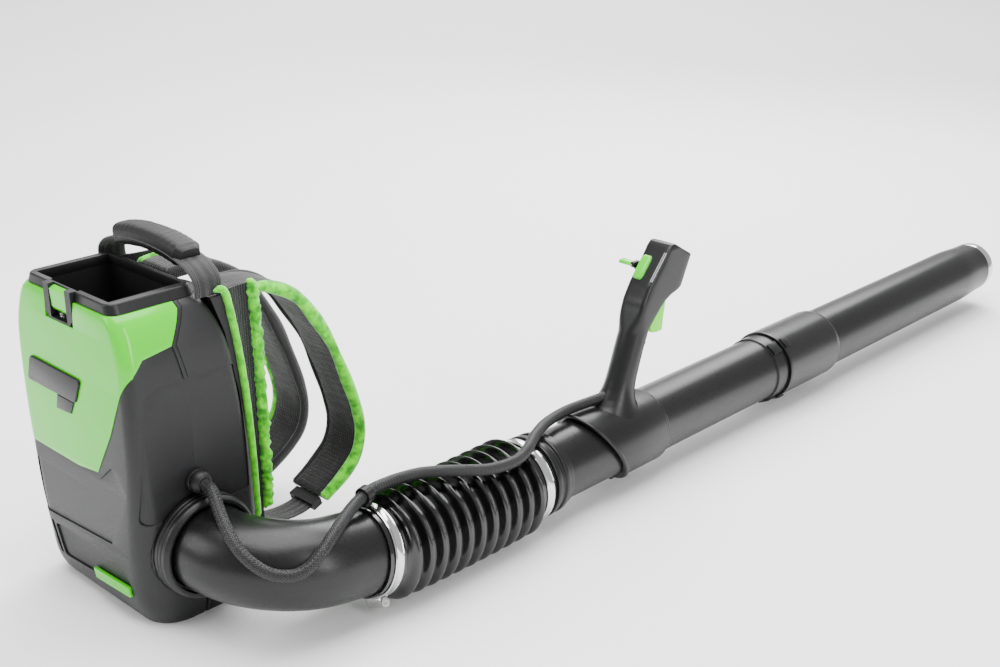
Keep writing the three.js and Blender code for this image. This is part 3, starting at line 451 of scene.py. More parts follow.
def makeView():
    eye = bpy.data.cameras.new("viewpoint")
    eye.lens = view["lens"]
    eye.sensor_width = 36.0
    eye.clip_start, eye.clip_end = 0.05, 30.0
    camera = bpy.data.objects.new("viewpoint", eye)
    bpy.context.scene.collection.objects.link(camera)
    camera.location = view["place"]
    camera.rotation_euler = (math.radians(90 - view["down"]), 0, math.radians(view["heading"]))
    bpy.context.scene.camera = camera


lamps = [
    # name, place, aim, width, height, watts
    ("overhead", (0.2, 0.3, 2.6), (0.1, 0.3, 0.0), 2.6, 2.0, 135.0),
    ("leftFront", (-1.2, -2.2, 1.5), (0.0, 0.0, 0.2), 1.4, 1.4, 30.0),
    ("rightStrip", (2.6, 0.3, 1.3), (0.2, 0.3, 0.15), 0.4, 2.2, 40.0),
    ("farFloor", (-3.0, 3.5, 3.2), (-3.0, 3.5, 0.0), 5.0, 5.0, 330.0),
    ("behind", (-0.8, 2.4, 1.6), (0.1, 0.4, 0.2), 1.8, 1.2, 46.0),
]


def makeLights():
    for name, place, aim, width, height, watts in lamps:
        lamp = bpy.data.lights.new(name, "AREA")
        lamp.shape = "RECTANGLE"
        lamp.size, lamp.size_y, lamp.energy = width, height, watts
        holder = bpy.data.objects.new(name, lamp)
        bpy.context.scene.collection.objects.link(holder)
        holder.location = place
        holder.rotation_euler = (Vector(aim) - Vector(place)).to_track_quat("-Z", "Y").to_euler()
    world = bpy.data.worlds.new("paleRoom")
    world.use_nodes = True
    world.node_tree.nodes["Background"].inputs[0].default_value = (1, 1, 1, 1)
    world.node_tree.nodes["Background"].inputs[1].default_value = 0.7
    bpy.context.scene.world = world


def makeFloor():
    bpy.ops.object.select_all(action="DESELECT")
    bpy.ops.mesh.primitive_plane_add(size=60.0, location=(0, 0, 0))
    floor = named("studioFloor")
    material, tree, shader = blank("paleFloorPaper")
    at = add(tree, "ShaderNodeTexCoord").outputs["Object"]
    slow = add(tree, "ShaderNodeTexNoise", {"Vector": at, "Scale": 1.5})
    tone = add(tree, "ShaderNodeMixRGB", {"Fac": slow.outputs["Fac"], "Color1": colour("#fbfbfb"),
                                          "Color2": colour("#fdfdfd")})
    tree.links.new(tone.outputs[0], shader.inputs["Base Color"])
    shader.inputs["Roughness"].default_value = 0.8
    floor.data.materials.append(material)


makeView()
makeLights()
makeFloor()

# control cable: clipped at the rear clamp, held by the gland and the handle
cable = {"radius": 6.5, "ring": 4.2, "strand": 3.2}
cablePoints = [
    (127.6, -14, 163.5), (139, -14.6, 161.6), (151, -18.5, 154.5), (164, -23, 146.5), (179, -27.5, 138.5),
    (196, -31.5, 130), (211, -31, 120.5), (225, -26, 111.5), (237, -18, 104.5), (246, -8, 101.5), (253, 4, 101.5),
    (257, 18, 107), (255, 37, 117.8), (247.5, 57, 125.2), (237, 78, 129), (227, 99, 131.5), (221, 118, 134),
    (217.5, 135, 135.3), (215, 155, 133.8), (215.5, 175, 132.9), (222, 200, 132.4), (234, 222, 131),
    (246, 246, 127.4), (256, 272, 122.8), (259.5, 300, 120.4), (258.5, 321, 121), (252, 342, 124.3),
    (241, 362, 125.8), (229, 385, 124.2), (217, 409, 121), (208.5, 435, 118.5), (205.5, 457, 118.2),
    (206, 475, 118.4), (208, 492, 118.8), (213, 512, 120.5), (217, 522, 122.5),
]


def makeCable():
    line, length = route(cablePoints, 560)
    print("cable length mm", round(length))
    clip = min(range(561), key=lambda k: abs(line[k][0].y - 135) + (0 if k > 200 else 999))
    middle = min(range(561), key=lambda k: abs(line[k][0].y - 246) + (0 if k > 200 else 999))
    spans = {"cableRear": (0, clip), "cableMiddle": (clip, middle), "cableFront": (middle, 560)}
    for name, (a, b) in spans.items():
        def section(u, v, span=b - a):
            # the corrugations show through
            ring = 1.0 + 0.035 * math.cos(2 * math.pi * v * span * length / 560 / cable["ring"])
            angle = 2 * math.pi * u
            return cable["radius"] * ring * math.cos(angle), cable["radius"] * ring * math.sin(angle)
        piece = swept(name, line[a:b + 1], 28, section)
        share = (b - a) / 560 * length
        # the gap tone #020202 is the black tube beneath, darkened further as painted shade
        sleeve = braid(name + "Braid", "#1b1b1c", "#020202", 2 * math.pi * cable["radius"] / cable["strand"],
                       share / cable["strand"])
        fit(piece, None, sleeve, "cable_sleeve",
            {"cableRear": "cable_rear", "cableMiddle": "cable_mid", "cableFront": "cable_front"}[name])
        bodies, first, last = {"cableRear": (("housing", "elbow_pipe"), 20, b - 30),
                               "cableMiddle": (("elbow_pipe", "hose_middle"), a + 12, b - 10),
                               "cableFront": (("hose_middle", "wand_tube"), a + 10, a + 150)}[name]
        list(bodies)
        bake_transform(piece)
        smoothed(piece, 60)


makeCable()
print("stage: cable")

# housing shells: one dense skin through the levels, cut along the seam lines
housing = {"wall": 3.0, "seat": 0.6}
levels = [  # height, half width, front, rear, front corner
    (0.6, 104, 64, 54, 34), (22, 110, 76, 62, 34), (60, 110, 81, 64, 32), (100, 110, 84, 64, 28),
    (173, 111, 84, 61, 20), (240, 111, 84, 54, 16), (300, 108.5, 83, 44, 14), (330, 101, 82, 35, 15),
    (345, 93, 81, 28, 14), (352, 86, 79.5, 24, 14),
]
seam = [(-12, -10), (-12, 247), (-26, 314), (-7, 346), (-13, 380)]
sideEdge = [(-400, 150), (-84.6, 150), (-80.5, 262), (-73, 296), (-61, 309), (-27, 314)]
shieldEdge = [(-400, 169), (0, 167), (39, 172), (73, 225), (98, 275), (112, 300), (400, 300)]


def skinRow(z, offset):
    k = 0
    while k < len(levels) - 2 and levels[k + 1][0] < z:
        k += 1
    a, b = levels[k], levels[k + 1]
    t = min(max((z - a[0]) / (b[0] - a[0]), 0), 1)
    before, after = levels[max(k - 1, 0)], levels[min(k + 2, len(levels) - 1)]
    row = []
    for i in range(1, 5):
        m0 = (b[i] - before[i]) / max(b[0] - before[0], 1e-6) * (b[0] - a[0])
        m1 = (after[i] - a[i]) / max(after[0] - a[0], 1e-6) * (b[0] - a[0])
        if k == 0:
            m0 = (b[i] - a[i]) * 1.6
        row.append((2 * t ** 3 - 3 * t * t + 1) * a[i] + (t ** 3 - 2 * t * t + t) * m0
                   + (3 * t * t - 2 * t ** 3) * b[i] + (t ** 3 - t * t) * m1)
    halfX, front, rear, corner = row
    halfX, front, rear = halfX + offset, front + offset, rear + offset
    ring = []
    for cx, cy, r, start in ((halfX, -front, max(corner + offset, 4), -90), (halfX, rear, 14 + offset, 0),
                             (-halfX, rear, 14 + offset, 90), (-halfX, -front, max(corner + offset, 4), 180)):
        ox, oy = math.copysign(r, cx), math.copysign(r, cy)
        for step in range(13):
            angle = math.radians(start + step * 7.5)
            ring.append((cx - ox + r * math.cos(angle), cy - oy + r * math.sin(angle)))
    return ring


def skin(name, offset, low=0.6, high=352.0):
    rows = 64

    def place(u, v):
        z = low + (high - low) * v
        ring = skinRow(z, offset)
        x, y = ring[round(u * 52) % 52]
        return x, y, z
    return surface(name, 52, rows, place)


def aboveEdge(name, edge, x0, x1, top=420):
    return alongX(name, edge + [(edge[-1][0], top), (edge[0][0], top)], x0, x1)


def makeHousing():
    front, rear = skin("frontShell", 0.0), skin("rearShell", 0.0)
    cover = skin("outerCover", housing["seat"])
    hollow = skin("hollow", -housing["wall"], -2.0, 356.0)
    seamSolid = alongX("seamSolid", seam + [(400, 380), (400, -10)], -300, 300)
    carve(rear, seamSolid, "INTERSECT", keep=True)
    carve(front, seamSolid, "DIFFERENCE", keep=True)
    carve(cover, seamSolid, "DIFFERENCE")
    sideSolid = aboveEdge("sideSolid", sideEdge + [(40, 314)], -300, 300)
    shieldSolid = alongY("shieldSolid", [(x, z) for x, z in shieldEdge] + [(400, 420), (-400, 420)], -300, 300)
    carve(sideSolid, shieldSolid, "INTERSECT")
    carve(cover, sideSolid, "INTERSECT", keep=True)
    carve(front, sideSolid, "DIFFERENCE")
    for piece in (front, rear, cover):
        carve(piece, hollow, "DIFFERENCE", keep=True)
    bpy.data.objects.remove(hollow)
    # openings: battery bay from above, latch pocket, duct hole at the right, intake at the left
    for piece in (front, rear, cover):
        bay = alongY("bay", [(-73, 169), (73, 169), (73, 420), (-73, 420)], -73.2, 18.2)
        carve(piece, bay)
    for piece in (front, cover):
        pocket = alongY("pocket", [(-36.5, 325), (18.5, 325), (18.5, 420), (-36.5, 420)], -120, -60)
        carve(piece, pocket)
    for piece in (front, rear):
        for side, radius in ((1, 58.0), (-1, 60.0)):
            hole = turned("hole", [(0.01, 60 * side), (radius, 60 * side), (radius, 160 * side), (0.01, 160 * side)],
                          (0, -14, 90), "X", 96)
            carve(piece, hole)
    return front, rear, cover


# A shallow panel sunk into a skin: an outline pushed through it, kept between two depths of the skin.
def sink(piece, outline, side, depth, edge=9.0):
    outer = skin("outer", 2.0)
    inner = skin("inner", -depth)
    carve(outer, inner)
    x0, x1 = (60, 140) if side > 0 else (-140, -60)
    prism = alongX("panel", outline, x0, x1) if abs(side) == 1 else alongY("panel", outline, -140, -50)
    if edge:
        softened(prism, edge, 5, 25)
    carve(outer, prism, "INTERSECT")
    carve(piece, outer)


frontShell, rearShell, outerCover = makeHousing()
for side in (1, -1):
    arch = [(-80, 129), (-70, 249), (-67, 261), (-60, 272), (-47, 277), (60, 277), (60, 129)]
    sink(frontShell, arch, side, 1.8)
    sink(rearShell, arch[:5] + [(42, 277), (52, 268), (52, 129)], side, 1.8)
# two V-shaped panels with a slot at the left of the lower one
sink(frontShell, [(-97, 146), (-97, 81), (50, 91), (90, 160), (66, 186), (39, 163), (-4, 156)], 0, 1.6, 3)
sink(frontShell, [(-74, 70), (60, 83), (76, 40), (-66, 30)], 0, 2.2, 5)
sink(frontShell, [(-84, 71), (-78, 72), (-70, 32), (-75, 31)], 0, 5.0, 0)
for side in (1, -1):
    groove = [(y - 1.3, z) for y, z in seam] + [(y + 1.3, z) for y, z in reversed(seam)]
    for piece in (frontShell, rearShell):
        sink(piece, groove, side, 1.7, 0)
    sink(rearShell, [(y + 5.0, z) for y, z in seam] + [(y + 6.2, z) for y, z in reversed(seam)], side, 0.9, 0)
for piece, width in ((frontShell, 1.4), (rearShell, 1.4), (outerCover, 1.3)):
    softened(piece, width, 3, 28, 30)
fit(frontShell, "housing", greyNylon, "dark_shell", "front_shell")
fit(rearShell, "housing", greyNylon, "dark_shell", "rear_shell")
fit(outerCover, "housing", limeAbs, "lime_cover", "outer_cover")
print("stage: housing shells")

# rim, badge and trims of the housing


def makeTrims():
    def place(u, v):
        z = 352.2 + 10.8 * v
        ring = skinRow(352, -1.5 - 1.2 * v if v < 0.99 else -3.5)
        x, y = ring[round(u * 52) % 52]
        return x * (1 - 0.05 * v), y, z
    top = surface("bayRim", 52, 8, place)
    well = alongY("well", [(-70, 340), (70, 340), (70, 380), (-70, 380)], -70, 15)
    carve(top, well)
    notch = alongY("notch", [(-36.2, 340), (18.2, 340), (18.2, 380), (-36.2, 380)], -100, -60)
    carve(top, notch)
    softened(top, 1.8, 3, 28, 30)
    fit(top, "housing", satinNylon, "dark_shell", "bay_rim")
    badge = alongY("badgePlate", [(-82, 242), (10, 242), (13, 245), (24, 268), (21, 271), (-73, 272), (-77, 269),
                                  (-85, 245)], -87.0, -84.2)
    softened(badge, 1.1, 3, 28, 30)
    fit(badge, "housing", satinNylon, "dark_shell", "badge_plate")
    frameOut = [(-26, 241), (7, 241), (-1, 226), (-31, 224)]
    box = alongY("badgeTab", frameOut, -86.2, -84.3)
    softened(box, 0.8, 3, 28, 30)
    fit(box, "housing", satinNylon, "dark_shell")
    bar = alongY("accentBar", [(1, 43), (71, 46), (73, 35), (5, 32)], -82.6, -78.0)
    softened(bar, 1.0, 3, 28, 30)
    fit(bar, "housing", limeAbs, "lime_cover")


makeTrims()

# elbow
elbow = {"x": 111.5, "bendX": 131.0, "hoseX": 221.0, "radius": 47.0, "droop": 9.5}
down = Vector((0, math.cos(math.radians(9.5)), -math.sin(math.radians(9.5))))


def elbowLine():
    points = [Vector((elbow["x"] + 19.5 * k / 6, -14, 90)) for k in range(7)]
    centre = Vector((131, -14, 90)) + down * 90
    for k in range(1, 41):
        a = math.radians(90 * k / 40)
        points.append(centre + Vector((math.sin(a) * 90, 0, 0)) - down * (90 * math.cos(a)))
    for k in range(1, 13):
        points.append(points[46] + down * (5 * k))
    return points


def ringsAlong(name, points, radiusAt, around=72, inner=None):
    stations = [0.0]
    for a, b in zip(points, points[1:]):
        stations.append(stations[-1] + (b - a).length)
    frames = []
    side = Vector((0, 0, 1))
    for i, point in enumerate(points):
        way = (points[min(i + 1, len(points) - 1)] - points[max(i - 1, 0)]).normalized()
        side = (side - way * side.dot(way)).normalized()
        frames.append((point, way, side, way.cross(side)))
    outside = [(i, radiusAt(stations[i])) for i in range(len(points))]
    rows = outside + ([(i, inner) for i in range(len(points) - 1, -1, -1)] if inner else [])

    def place(u, v):
        i, radius = rows[round(v * (len(rows) - 1))]
        point, way, side, top = frames[i]
        a = 2 * math.pi * u
        return point + side * (radius * math.cos(a)) + top * (radius * math.sin(a))
    return surface(name, around, len(rows) - 1, place, True, inner is None)


def makeElbow():
    path = elbowLine()

    def radiusAt(s):
        if s < 5:
            return 50.0
        if s < 6.5:
            return 50.0 - 3 * (s - 5) / 1.5
        return 47.0
    body = ringsAlong("elbowSkin", path, radiusAt, 96, 44.0)
    smoothed(body, 40)
    fit(body, "elbow_pipe", tubePlastic, "black_tube", "elbow")
    collar = [(57.5, 0.0), (57.5, 5.0), (56.6, 5.6), (56.6, 7.4), (57.5, 8.0), (57.5, 10.4), (56.6, 11.0), (56.6, 12.6),
              (57.5, 13.2), (57.0, 17.0), (53.8, 21.0), (50.5, 21.0), (50.5, 0.0)]
    neck = turned("outletCollar", collar, (110.3, -14, 90), "X", 128)
    softened(neck, 0.35, 2, 25, 30)
    fit(neck, "housing", satinNylon, "black_plastic", "outlet_collar")
    gland = [(0.01, -6), (12.5, -6), (12.5, 3.6), (11.7, 4.2), (11.7, 5.6), (12.5, 6.2), (12.5, 9.0), (11.6, 12.4),
             (9.4, 15.2), (7.6, 16.8), (0.01, 17)]
    stub = turned("cableGland", gland, (110.6, -14, 163.5), "X", 48)
    smoothed(stub, 30)
    fit(stub, "housing", mattRubber, "black_rubber", "cable_gland")


makeElbow()
print("stage: elbow")

# bellows: one skin in three pieces that share their end rings
bellows = {"folds": 11, "cuff": 24.0, "outer": 60.6, "root": 48.6, "drop": 1.6}
hoseStart = elbowLine()[-1]
hoseEnd = Vector((221, 360.943, 62.3))


def hoseCurve(t):
    a, b = hoseStart, hoseStart + down * 18
    c, d = Vector((221, 278.94, 62.3)), Vector((221, 348.94, 62.3))
    s = 1 - t
    return a * s ** 3 + b * 3 * s * s * t + c * 3 * s * t * t + d * t ** 3


def makeBellows():
    dense = [hoseCurve(k / 400) for k in range(401)]
    far = [0.0]
    for a, b in zip(dense, dense[1:]):
        far.append(far[-1] + (b - a).length)
    length = far[-1]
    fold = length / bellows["folds"]

    def pointAt(s):
        if s <= 0:
            return hoseStart + down * s
        if s >= length:
            return dense[-1] + Vector((0, s - length, 0))
        k = min(range(401), key=lambda n: abs(far[n] - s))
        k = k if far[k] <= s else k - 1
        k = min(max(k, 0), 399)
        return dense[k].lerp(dense[k + 1], (s - far[k]) / max(far[k + 1] - far[k], 1e-9))

    spans = {"bellowsRear": (-bellows["cuff"], 5 * fold), "bellowsMiddle": (5 * fold, 6 * fold),
             "bellowsFront": (6 * fold, length + 18)}
    for name, (a, b) in spans.items():
        count = max(round((b - a) / fold * 22), 12)

        def place(u, v):
            s = a + (b - a) * v
            way = (pointAt(s + 0.7) - pointAt(s - 0.7)).normalized()
            side = Vector((1, 0, 0))
            top = side.cross(way).normalized()
            if 0 <= s <= length:
                wave = (0.5 - 0.5 * math.cos(2 * math.pi * s / fold)) ** 1.5
                radius = bellows["root"] + (bellows["outer"] - bellows["root"]) * wave
                low = bellows["drop"] * math.sin(math.pi * s / length)
            else:
                radius, low = 50.0, 0.0
            angle = 2 * math.pi * u
            across = side * (radius * math.cos(angle)) + top * (radius * math.sin(angle))
            return pointAt(s) - Vector((0, 0, low)) + across
        piece = surface(name, 96, count, place, True, False)
        shell = piece.modifiers.new("wall", "SOLIDIFY")
        shell.thickness = 2.0 * mm
        shell.offset = -1.0
        activate(piece)
        bpy.ops.object.modifier_apply(modifier=shell.name)
        smoothed(piece, 50)
        fit(piece, "hose_middle" if name == "bellowsMiddle" else None, bellowsRubber, "black_rubber",
            {"bellowsRear": "bellows_rear", "bellowsMiddle": "bellows_mid", "bellowsFront": "bellows_front"}[name])
        if name == "bellowsRear":
            pointAt(6) * mm
            pointAt(5 * fold - 4) * mm
            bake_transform(piece)
        if name == "bellowsFront":
            pointAt(6 * fold + 4) * mm
            pointAt(length - 6) * mm
            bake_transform(piece)


makeBellows()
print("stage: bellows")


# worm-drive clamps
def makeClamp(name, at, way, body, screwAngle, node):
    axis = Vector(way).normalized()
    profile = [(50.5, -6.0), (51.6, -6.0), (52.4, -4.9), (51.9, -3.6), (51.9, 3.6), (52.4, 4.9), (51.6, 6.0),
               (50.5, 6.0)]
    band = turned(name + "Band", profile, (0, 0, 0), "Y", 120)
    smoothed(band, 30)
    tilt = Vector((0, 1, 0)).rotation_difference(axis).to_matrix().to_4x4()
    side = Matrix.Rotation(math.radians(screwAngle), 4, "Y")
    pieces = [band]
    barrelProfile = [(0.01, -13), (5.0, -13), (5.6, -12.2), (5.6, 9.4), (5.0, 10.2), (0.01, 10.2)]
    barrel = turned(name + "Screw", barrelProfile, (0, 0, 57.0), "X", 36)
    head = turned(name + "Head", [(0.01, 10.4), (4.6, 10.4), (5.2, 11.0), (5.2, 14.4), (4.6, 15.0), (0.01, 15.0)],
                  (0, 0, 57.0), "X", 6)
    slot = alongX("slot", [(-0.7, 52), (0.7, 52), (0.7, 62), (-0.7, 62)], 13.6, 16)
    carve(head, slot)
    saddle = alongX(name + "Saddle", [(-6.4, 51.4), (6.4, 51.4), (6.4, 54), (4.5, 57), (-4.5, 57), (-6.4, 54)], -10, 9)
    softened(barrel, 0.3, 2, 30, 35)
    softened(saddle, 0.6, 2, 30, 35)
    for piece in (barrel, head, saddle):
        piece.data.transform(side)
        pieces.append(piece)
    for piece in pieces:
        piece.data.transform(Matrix.Translation(Vector(at) * mm) @ tilt)
    fit(band, body, clampSteel, "bright_steel", node[0])
    fit(barrel, body, screwSteel, "bright_steel", node[1])
    fit(head, body, screwSteel, "bright_steel")
    fit(saddle, body, clampSteel, "bright_steel")


makeClamp("rearClamp", hoseStart - down * 12, down, "elbow_pipe", 155, ("hose_clamp_band_1", "hose_clamp_screw_1"))
makeClamp("frontClamp", hoseEnd, (0, 1, 0), "wand_tube", -100,
          ("hose_clamp_band_2", "hose_clamp_screw_2"))
print("stage: clamps")

# wand
wand = {"x": 221.0, "y": 360.943, "z": 62.3}
at = (wand["x"], wand["y"], wand["z"])


def makeWand():
    coupler = [(47, -8), (47, 13), (51.5, 13.5), (51.8, 17), (51.5, 21), (48.6, 22), (48.6, 28), (51, 29), (51.2, 32),
               (51, 35), (48, 37), (48, 45.2), (47, 46), (43.8, 46), (43.8, -8)]
    ring = turned("hoseCoupler", coupler, at, "Y", 112)
    softened(ring, 0.6, 2, 25, 35)
    fit(ring, "wand_tube", gripPlastic, "black_tube", "hose_coupler")
    rear = turned("rearTube", [(44.1, 26), (44.1, 180), (41.1, 180), (41.1, 26)], at, "Y", 112)
    smoothed(rear, 40)
    fit(rear, "wand_tube", tubePlastic, "black_tube", "rear_tube")
    sleeve = turned("handleSleeve", [(44.4, 60), (49.4, 60), (49.4, 226.6), (48.6, 228.5), (44.4, 228.5)], at, "Y", 112)
    # the oblique rear edge: forward of a slanted plane only
    behind = extruded("behind", [(at[0] - 80, at[1] + y, at[2] + z) for y, z in
                                 ((-60, 120), (53.5, 120), (211.5, -120), (-60, -120))], (160, 0, 0))
    carve(sleeve, behind)
    softened(sleeve, 1.2, 3, 40, 35)
    fit(sleeve, "wand_tube", gripPlastic, "black_tube", "handle_sleeve")

    def lipPoint(a):
        z = 49.6 * math.cos(a)
        y = 100 + (49.4 - z) * 65 / 98.8
        return Vector((at[0] + 49.6 * math.sin(a), at[1] + y + 2.0, at[2] + z))

    def lip(u, v):
        a = 2 * math.pi * v
        p, q = lipPoint(a), lipPoint(a + 0.01)
        way = (q - p).normalized()
        outward = Vector((math.sin(a), 0, math.cos(a)))
        outward = (outward - way * outward.dot(way)).normalized()
        third = way.cross(outward)
        c = 2 * math.pi * u
        return p + outward * (2.4 * math.cos(c)) + third * (3.2 * math.sin(c))
    edge = surface("sleeveLip", 12, 128, lip, True, False)
    smoothed(edge, 60)
    fit(edge, "wand_tube", gripPlastic, "black_tube")
    lug = alongX("sleeveLug", [(at[1] + 164, at[2] - 55), (at[1] + 182, at[2] - 55), (at[1] + 186, at[2] - 48),
                               (at[1] + 160, at[2] - 48)], at[0] - 7, at[0] + 7)
    softened(lug, 1.5, 3, 30, 35)
    fit(lug, "wand_tube", gripPlastic, "black_tube")
    front = turned("frontTube", [(46.3, 229.2), (46.9, 231.2), (46.3, 233.2), (44.6, 233.8), (44.1, 236), (44.1, 484),
                                 (46.2, 485), (46.2, 509.4), (41.1, 509.8), (41.1, 229.2)], at, "Y", 112)
    smoothed(front, 32)
    fit(front, "front_pipe", tubePlastic, "black_tube", "front_tube")
    tube = [(49.4, 510.2), (49.8, 513), (49.4, 516), (49.4, 634), (48.6, 640), (46.0, 643.6), (44.1, 646)]
    for k in range(12):
        tube.append((44.1, 660 + k * 36.0))
    for k in range(13):
        t = k / 12
        tube.append((44.1 + (40.7 - 44.1) * (3 * t * t - 2 * t ** 3), 1060.6 + 78 * t))
    tube += [(37.7, 1138.6), (38.2, 1110), (41.1, 1055), (41.1, 660), (46.2, 640), (46.2, 510.2)]
    blow = turned("nozzleSkin", tube, at, "Y", 128)
    smoothed(blow, 32)
    fit(blow, "nozzle_pipe", tubePlastic, "black_tube", "nozzle")
    rimRing = turned("nozzleRing", [(38.0, 1139.0), (40.0, 1139.2), (40.6, 1141), (40.6, 1152), (40.2, 1155.2),
                                    (38.6, 1155.6), (36.4, 1155.6), (36.2, 1139.0)], at, "Y", 128)
    softened(rimRing, 0.5, 3, 25, 30)
    fit(rimRing, "nozzle_pipe", clampSteel, "bright_steel", "nozzle_ring")
    # bayonet lugs where the nozzle locks on
    for turn in (35, 155, 275):
        a = math.radians(turn)
        out = Vector((math.sin(a), 0, math.cos(a)))
        tang = Vector((math.cos(a), 0, -math.sin(a)))
        for body, y0, y1, r0, r1, half in (("front_pipe", 487, 506, 45.8, 48.6, 9.0),
                                           ("nozzle_pipe", 514, 528, 49.0, 51.9, 8.0)):
            p = [Vector(at) + Vector((0, y, 0)) + out * r0 + tang * s for y, s in
                 ((y0, -half), (y1, -half), (y1, half), (y0, half))]
            block = extruded("lug" + str(turn) + body, p, out * (r1 - r0))
            softened(block, 0.9, 2, 30, 40)
            fit(block, body, gripPlastic, "black_tube")


makeWand()
print("stage: wand")

# control handle
base = 49.4


def headPoint(y, z):
    return at[1] + y, at[2] + base + z


def makeHandle():
    # one skin from the flared foot up the round stem to the flat-sided head: height, rear, front
    profile = [(-14, 128, 216), (-6, 138, 208), (2, 147, 204), (10, 154, 203), (20, 160.5, 205), (32, 166.5, 208),
               (50, 174, 213.5), (66, 180, 219), (78, 184.5, 224), (92, 190, 229.5), (104, 195, 236), (114, 199, 244),
               (121, 202, 252), (127, 204, 265), (130, 205.4, 278), (133, 207, 284), (147, 216, 290.6),
               (168.5, 235, 300.6), (171, 237.2, 302), (173, 239, 299), (182, 247, 283), (190, 254, 269.5),
               (192.2, 257, 265)]
    heights = [row[0] for row in profile]

    def handleSkin(u, v):
        h = -14 + 206.2 * v
        rear, front = np.interp(h, heights, [r[1] for r in profile]), np.interp(h, heights, [r[2] for r in profile])
        square = min(max((h - 86) / 44, 0), 1)
        power = 2.0 + 5.0 * square * square * (3 - 2 * square)
        wide = 18.5 + 0.5 * square + 15.0 * max(0.0, 1 - (h + 14) / 44) ** 2
        wide -= 1.6 * max(0.0, (h - 186) / 6.2)
        a = 2 * math.pi * u
        c, n = math.cos(a), math.sin(a)
        x = wide * math.copysign(abs(c) ** (2 / power), c)
        y = (front - rear) / 2 * math.copysign(abs(n) ** (2 / power), n)
        return at[0] + x, at[1] + (front + rear) / 2 + y, at[2] + base + h
    body = surface("handleBody", 96, 130, handleSkin)
    cut = alongX("triggerSlot", [headPoint(*p) for p in ((234, 133), (226, 112), (221.5, 76), (224, 70), (300, 70),
                                                        (300, 118), (270, 136))], at[0] - 7.4, at[0] + 7.4)
    carve(body, cut)
    smoothed(body, 34)
    fit(body, "wand_tube", gripPlastic, "black_tube", "handle_left", "handle_right")
    nub = alongX("triggerNub", [headPoint(*p) for p in ((210, 60), (226, 63), (229.5, 67), (227, 71), (212, 71))],
                 at[0] - 5, at[0] + 5)
    softened(nub, 1.5, 3, 30, 45)
    fit(nub, "wand_tube", gripPlastic, "black_tube")
    # boost button in its oval recess on the leaning rear face
    facing = Vector((0, -math.cos(math.radians(90 - 48.5)), math.sin(math.radians(90 - 48.5)))).normalized()
    along = Vector((0, math.cos(math.radians(48.5)), math.sin(math.radians(48.5))))
    spot = Vector((at[0] - 7, *headPoint(235, 168.5))) - along * 6

    def pill(name, wide, tall, low, high, dome):
        def place(u, v):
            a = 2 * math.pi * u
            c, s = math.cos(a), math.sin(a)
            x = wide * math.copysign(abs(c) ** 0.42, c)
            y = tall * math.copysign(abs(s) ** 0.42, s)
            t = (0.0, 0.55, 0.8, 0.93, 1.0)[round(v * 4)]
            shrink = (1.0, 1.0, 0.94, 0.78, 0.3)[round(v * 4)]
            rise = facing * (low + (high - low) * t + dome * t)
            return spot + Vector((1, 0, 0)) * (x * shrink) + along * (y * shrink) + rise
        return surface(name, 40, 4, place)
    frame = pill("buttonRecess", 8.8, 18.8, -3, 0.7, 0)
    smoothed(frame, 40)
    fit(frame, "wand_tube", blackNylon, "black_tube")
    button = pill("boostButton", 7.4, 17.0, -2, 2.8, 0.8)
    smoothed(button, 60)
    fit(button, "boost", limeAbs, "lime_cover", "boost_button")
    # two pale strips along the rear face's right edge: painted highlight lines
    for k, offset in enumerate((13.2, 15.6)):
        corners = [Vector((at[0] + offset + dx, *headPoint(235, 168.5))) + along * dy + facing * -0.6
                   for dx, dy in ((0, -22), (1.1, -22), (1.1, 20), (0, 20))]
        strip = extruded("highlightStrip" + str(k), corners, facing * 1.0)
        fit(strip, "wand_tube", paintedEdgeHighlight, "black_tube")
    blade = [(238, 123.6), (234, 108.6), (234, 84.6), (238, 77.6), (248, 75.6), (259, 76.1), (260.5, 92.6),
             (264, 112.6), (261, 119.6), (252, 125.6)]
    pull = alongX("throttleTrigger", [headPoint(*p) for p in blade], at[0] - 6.5, at[0] + 6.5)
    # room in the back of the trigger for its return spring, at rest and pulled
    low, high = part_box("trigger_spring")
    low, high = low / mm, high / mm
    room = alongX("springRoom", [(low.y - 30, low.z - 3), (high.y + 3, low.z - 3), (high.y + 3, high.z + 3),
                                 (low.y - 30, high.z + 3)], low.x - 0.8, high.x + 0.8)
    carve(pull, room)
    softened(pull, 1.2, 3, 40, 45)
    fit(pull, "throttle", limeTrigger, "lime_cover", "trigger")
    # cruise lever on the left
    pivot = Vector((at[0] - 19.3, *headPoint(243, 160)))
    hub = turned("leverHub", [(0.01, -8.0), (5.4, -8.0), (6.0, -7.2), (6.0, 0.5), (0.01, 0.5)], tuple(pivot), "X", 40)
    smoothed(hub, 35)
    fit(hub, "cruise", blackNylon, "lime_cover")
    paddle = alongX("speedLever", [headPoint(*p) for p in ((229, 162), (231, 166.5), (239, 166.5), (241.5, 163),
                                                         (239, 161.5), (231, 161.5))], at[0] - 45.3, at[0] - 23.0)
    softened(paddle, 1.5, 4, 30, 45)
    fit(paddle, "cruise", limeAbs, "lime_cover", "speed_lever")
    root = alongX("leverRoot", [headPoint(*p) for p in ((230, 160.5), (230, 167), (243, 167), (247, 160), (243, 156))],
                  at[0] - 26.5, at[0] - 19.8)
    softened(root, 1.5, 3, 30, 45)
    fit(root, "cruise", blackNylon, "lime_cover")


makeHandle()
print("stage: handle")

# shoulder straps, back pad, lower webbing
harness = {"thick": 12.0, "inner": 20, "outer": 85}
strapLine = [(58, 339), (88, 340), (118, 335), (150, 317), (174, 287), (197, 248), (217, 199), (231, 155), (235, 124),
             (227, 97), (206, 77), (176, 59)]
webLine = [(178, 58), (164, 47), (140, 44), (112, 48), (88, 60), (83, 66)]


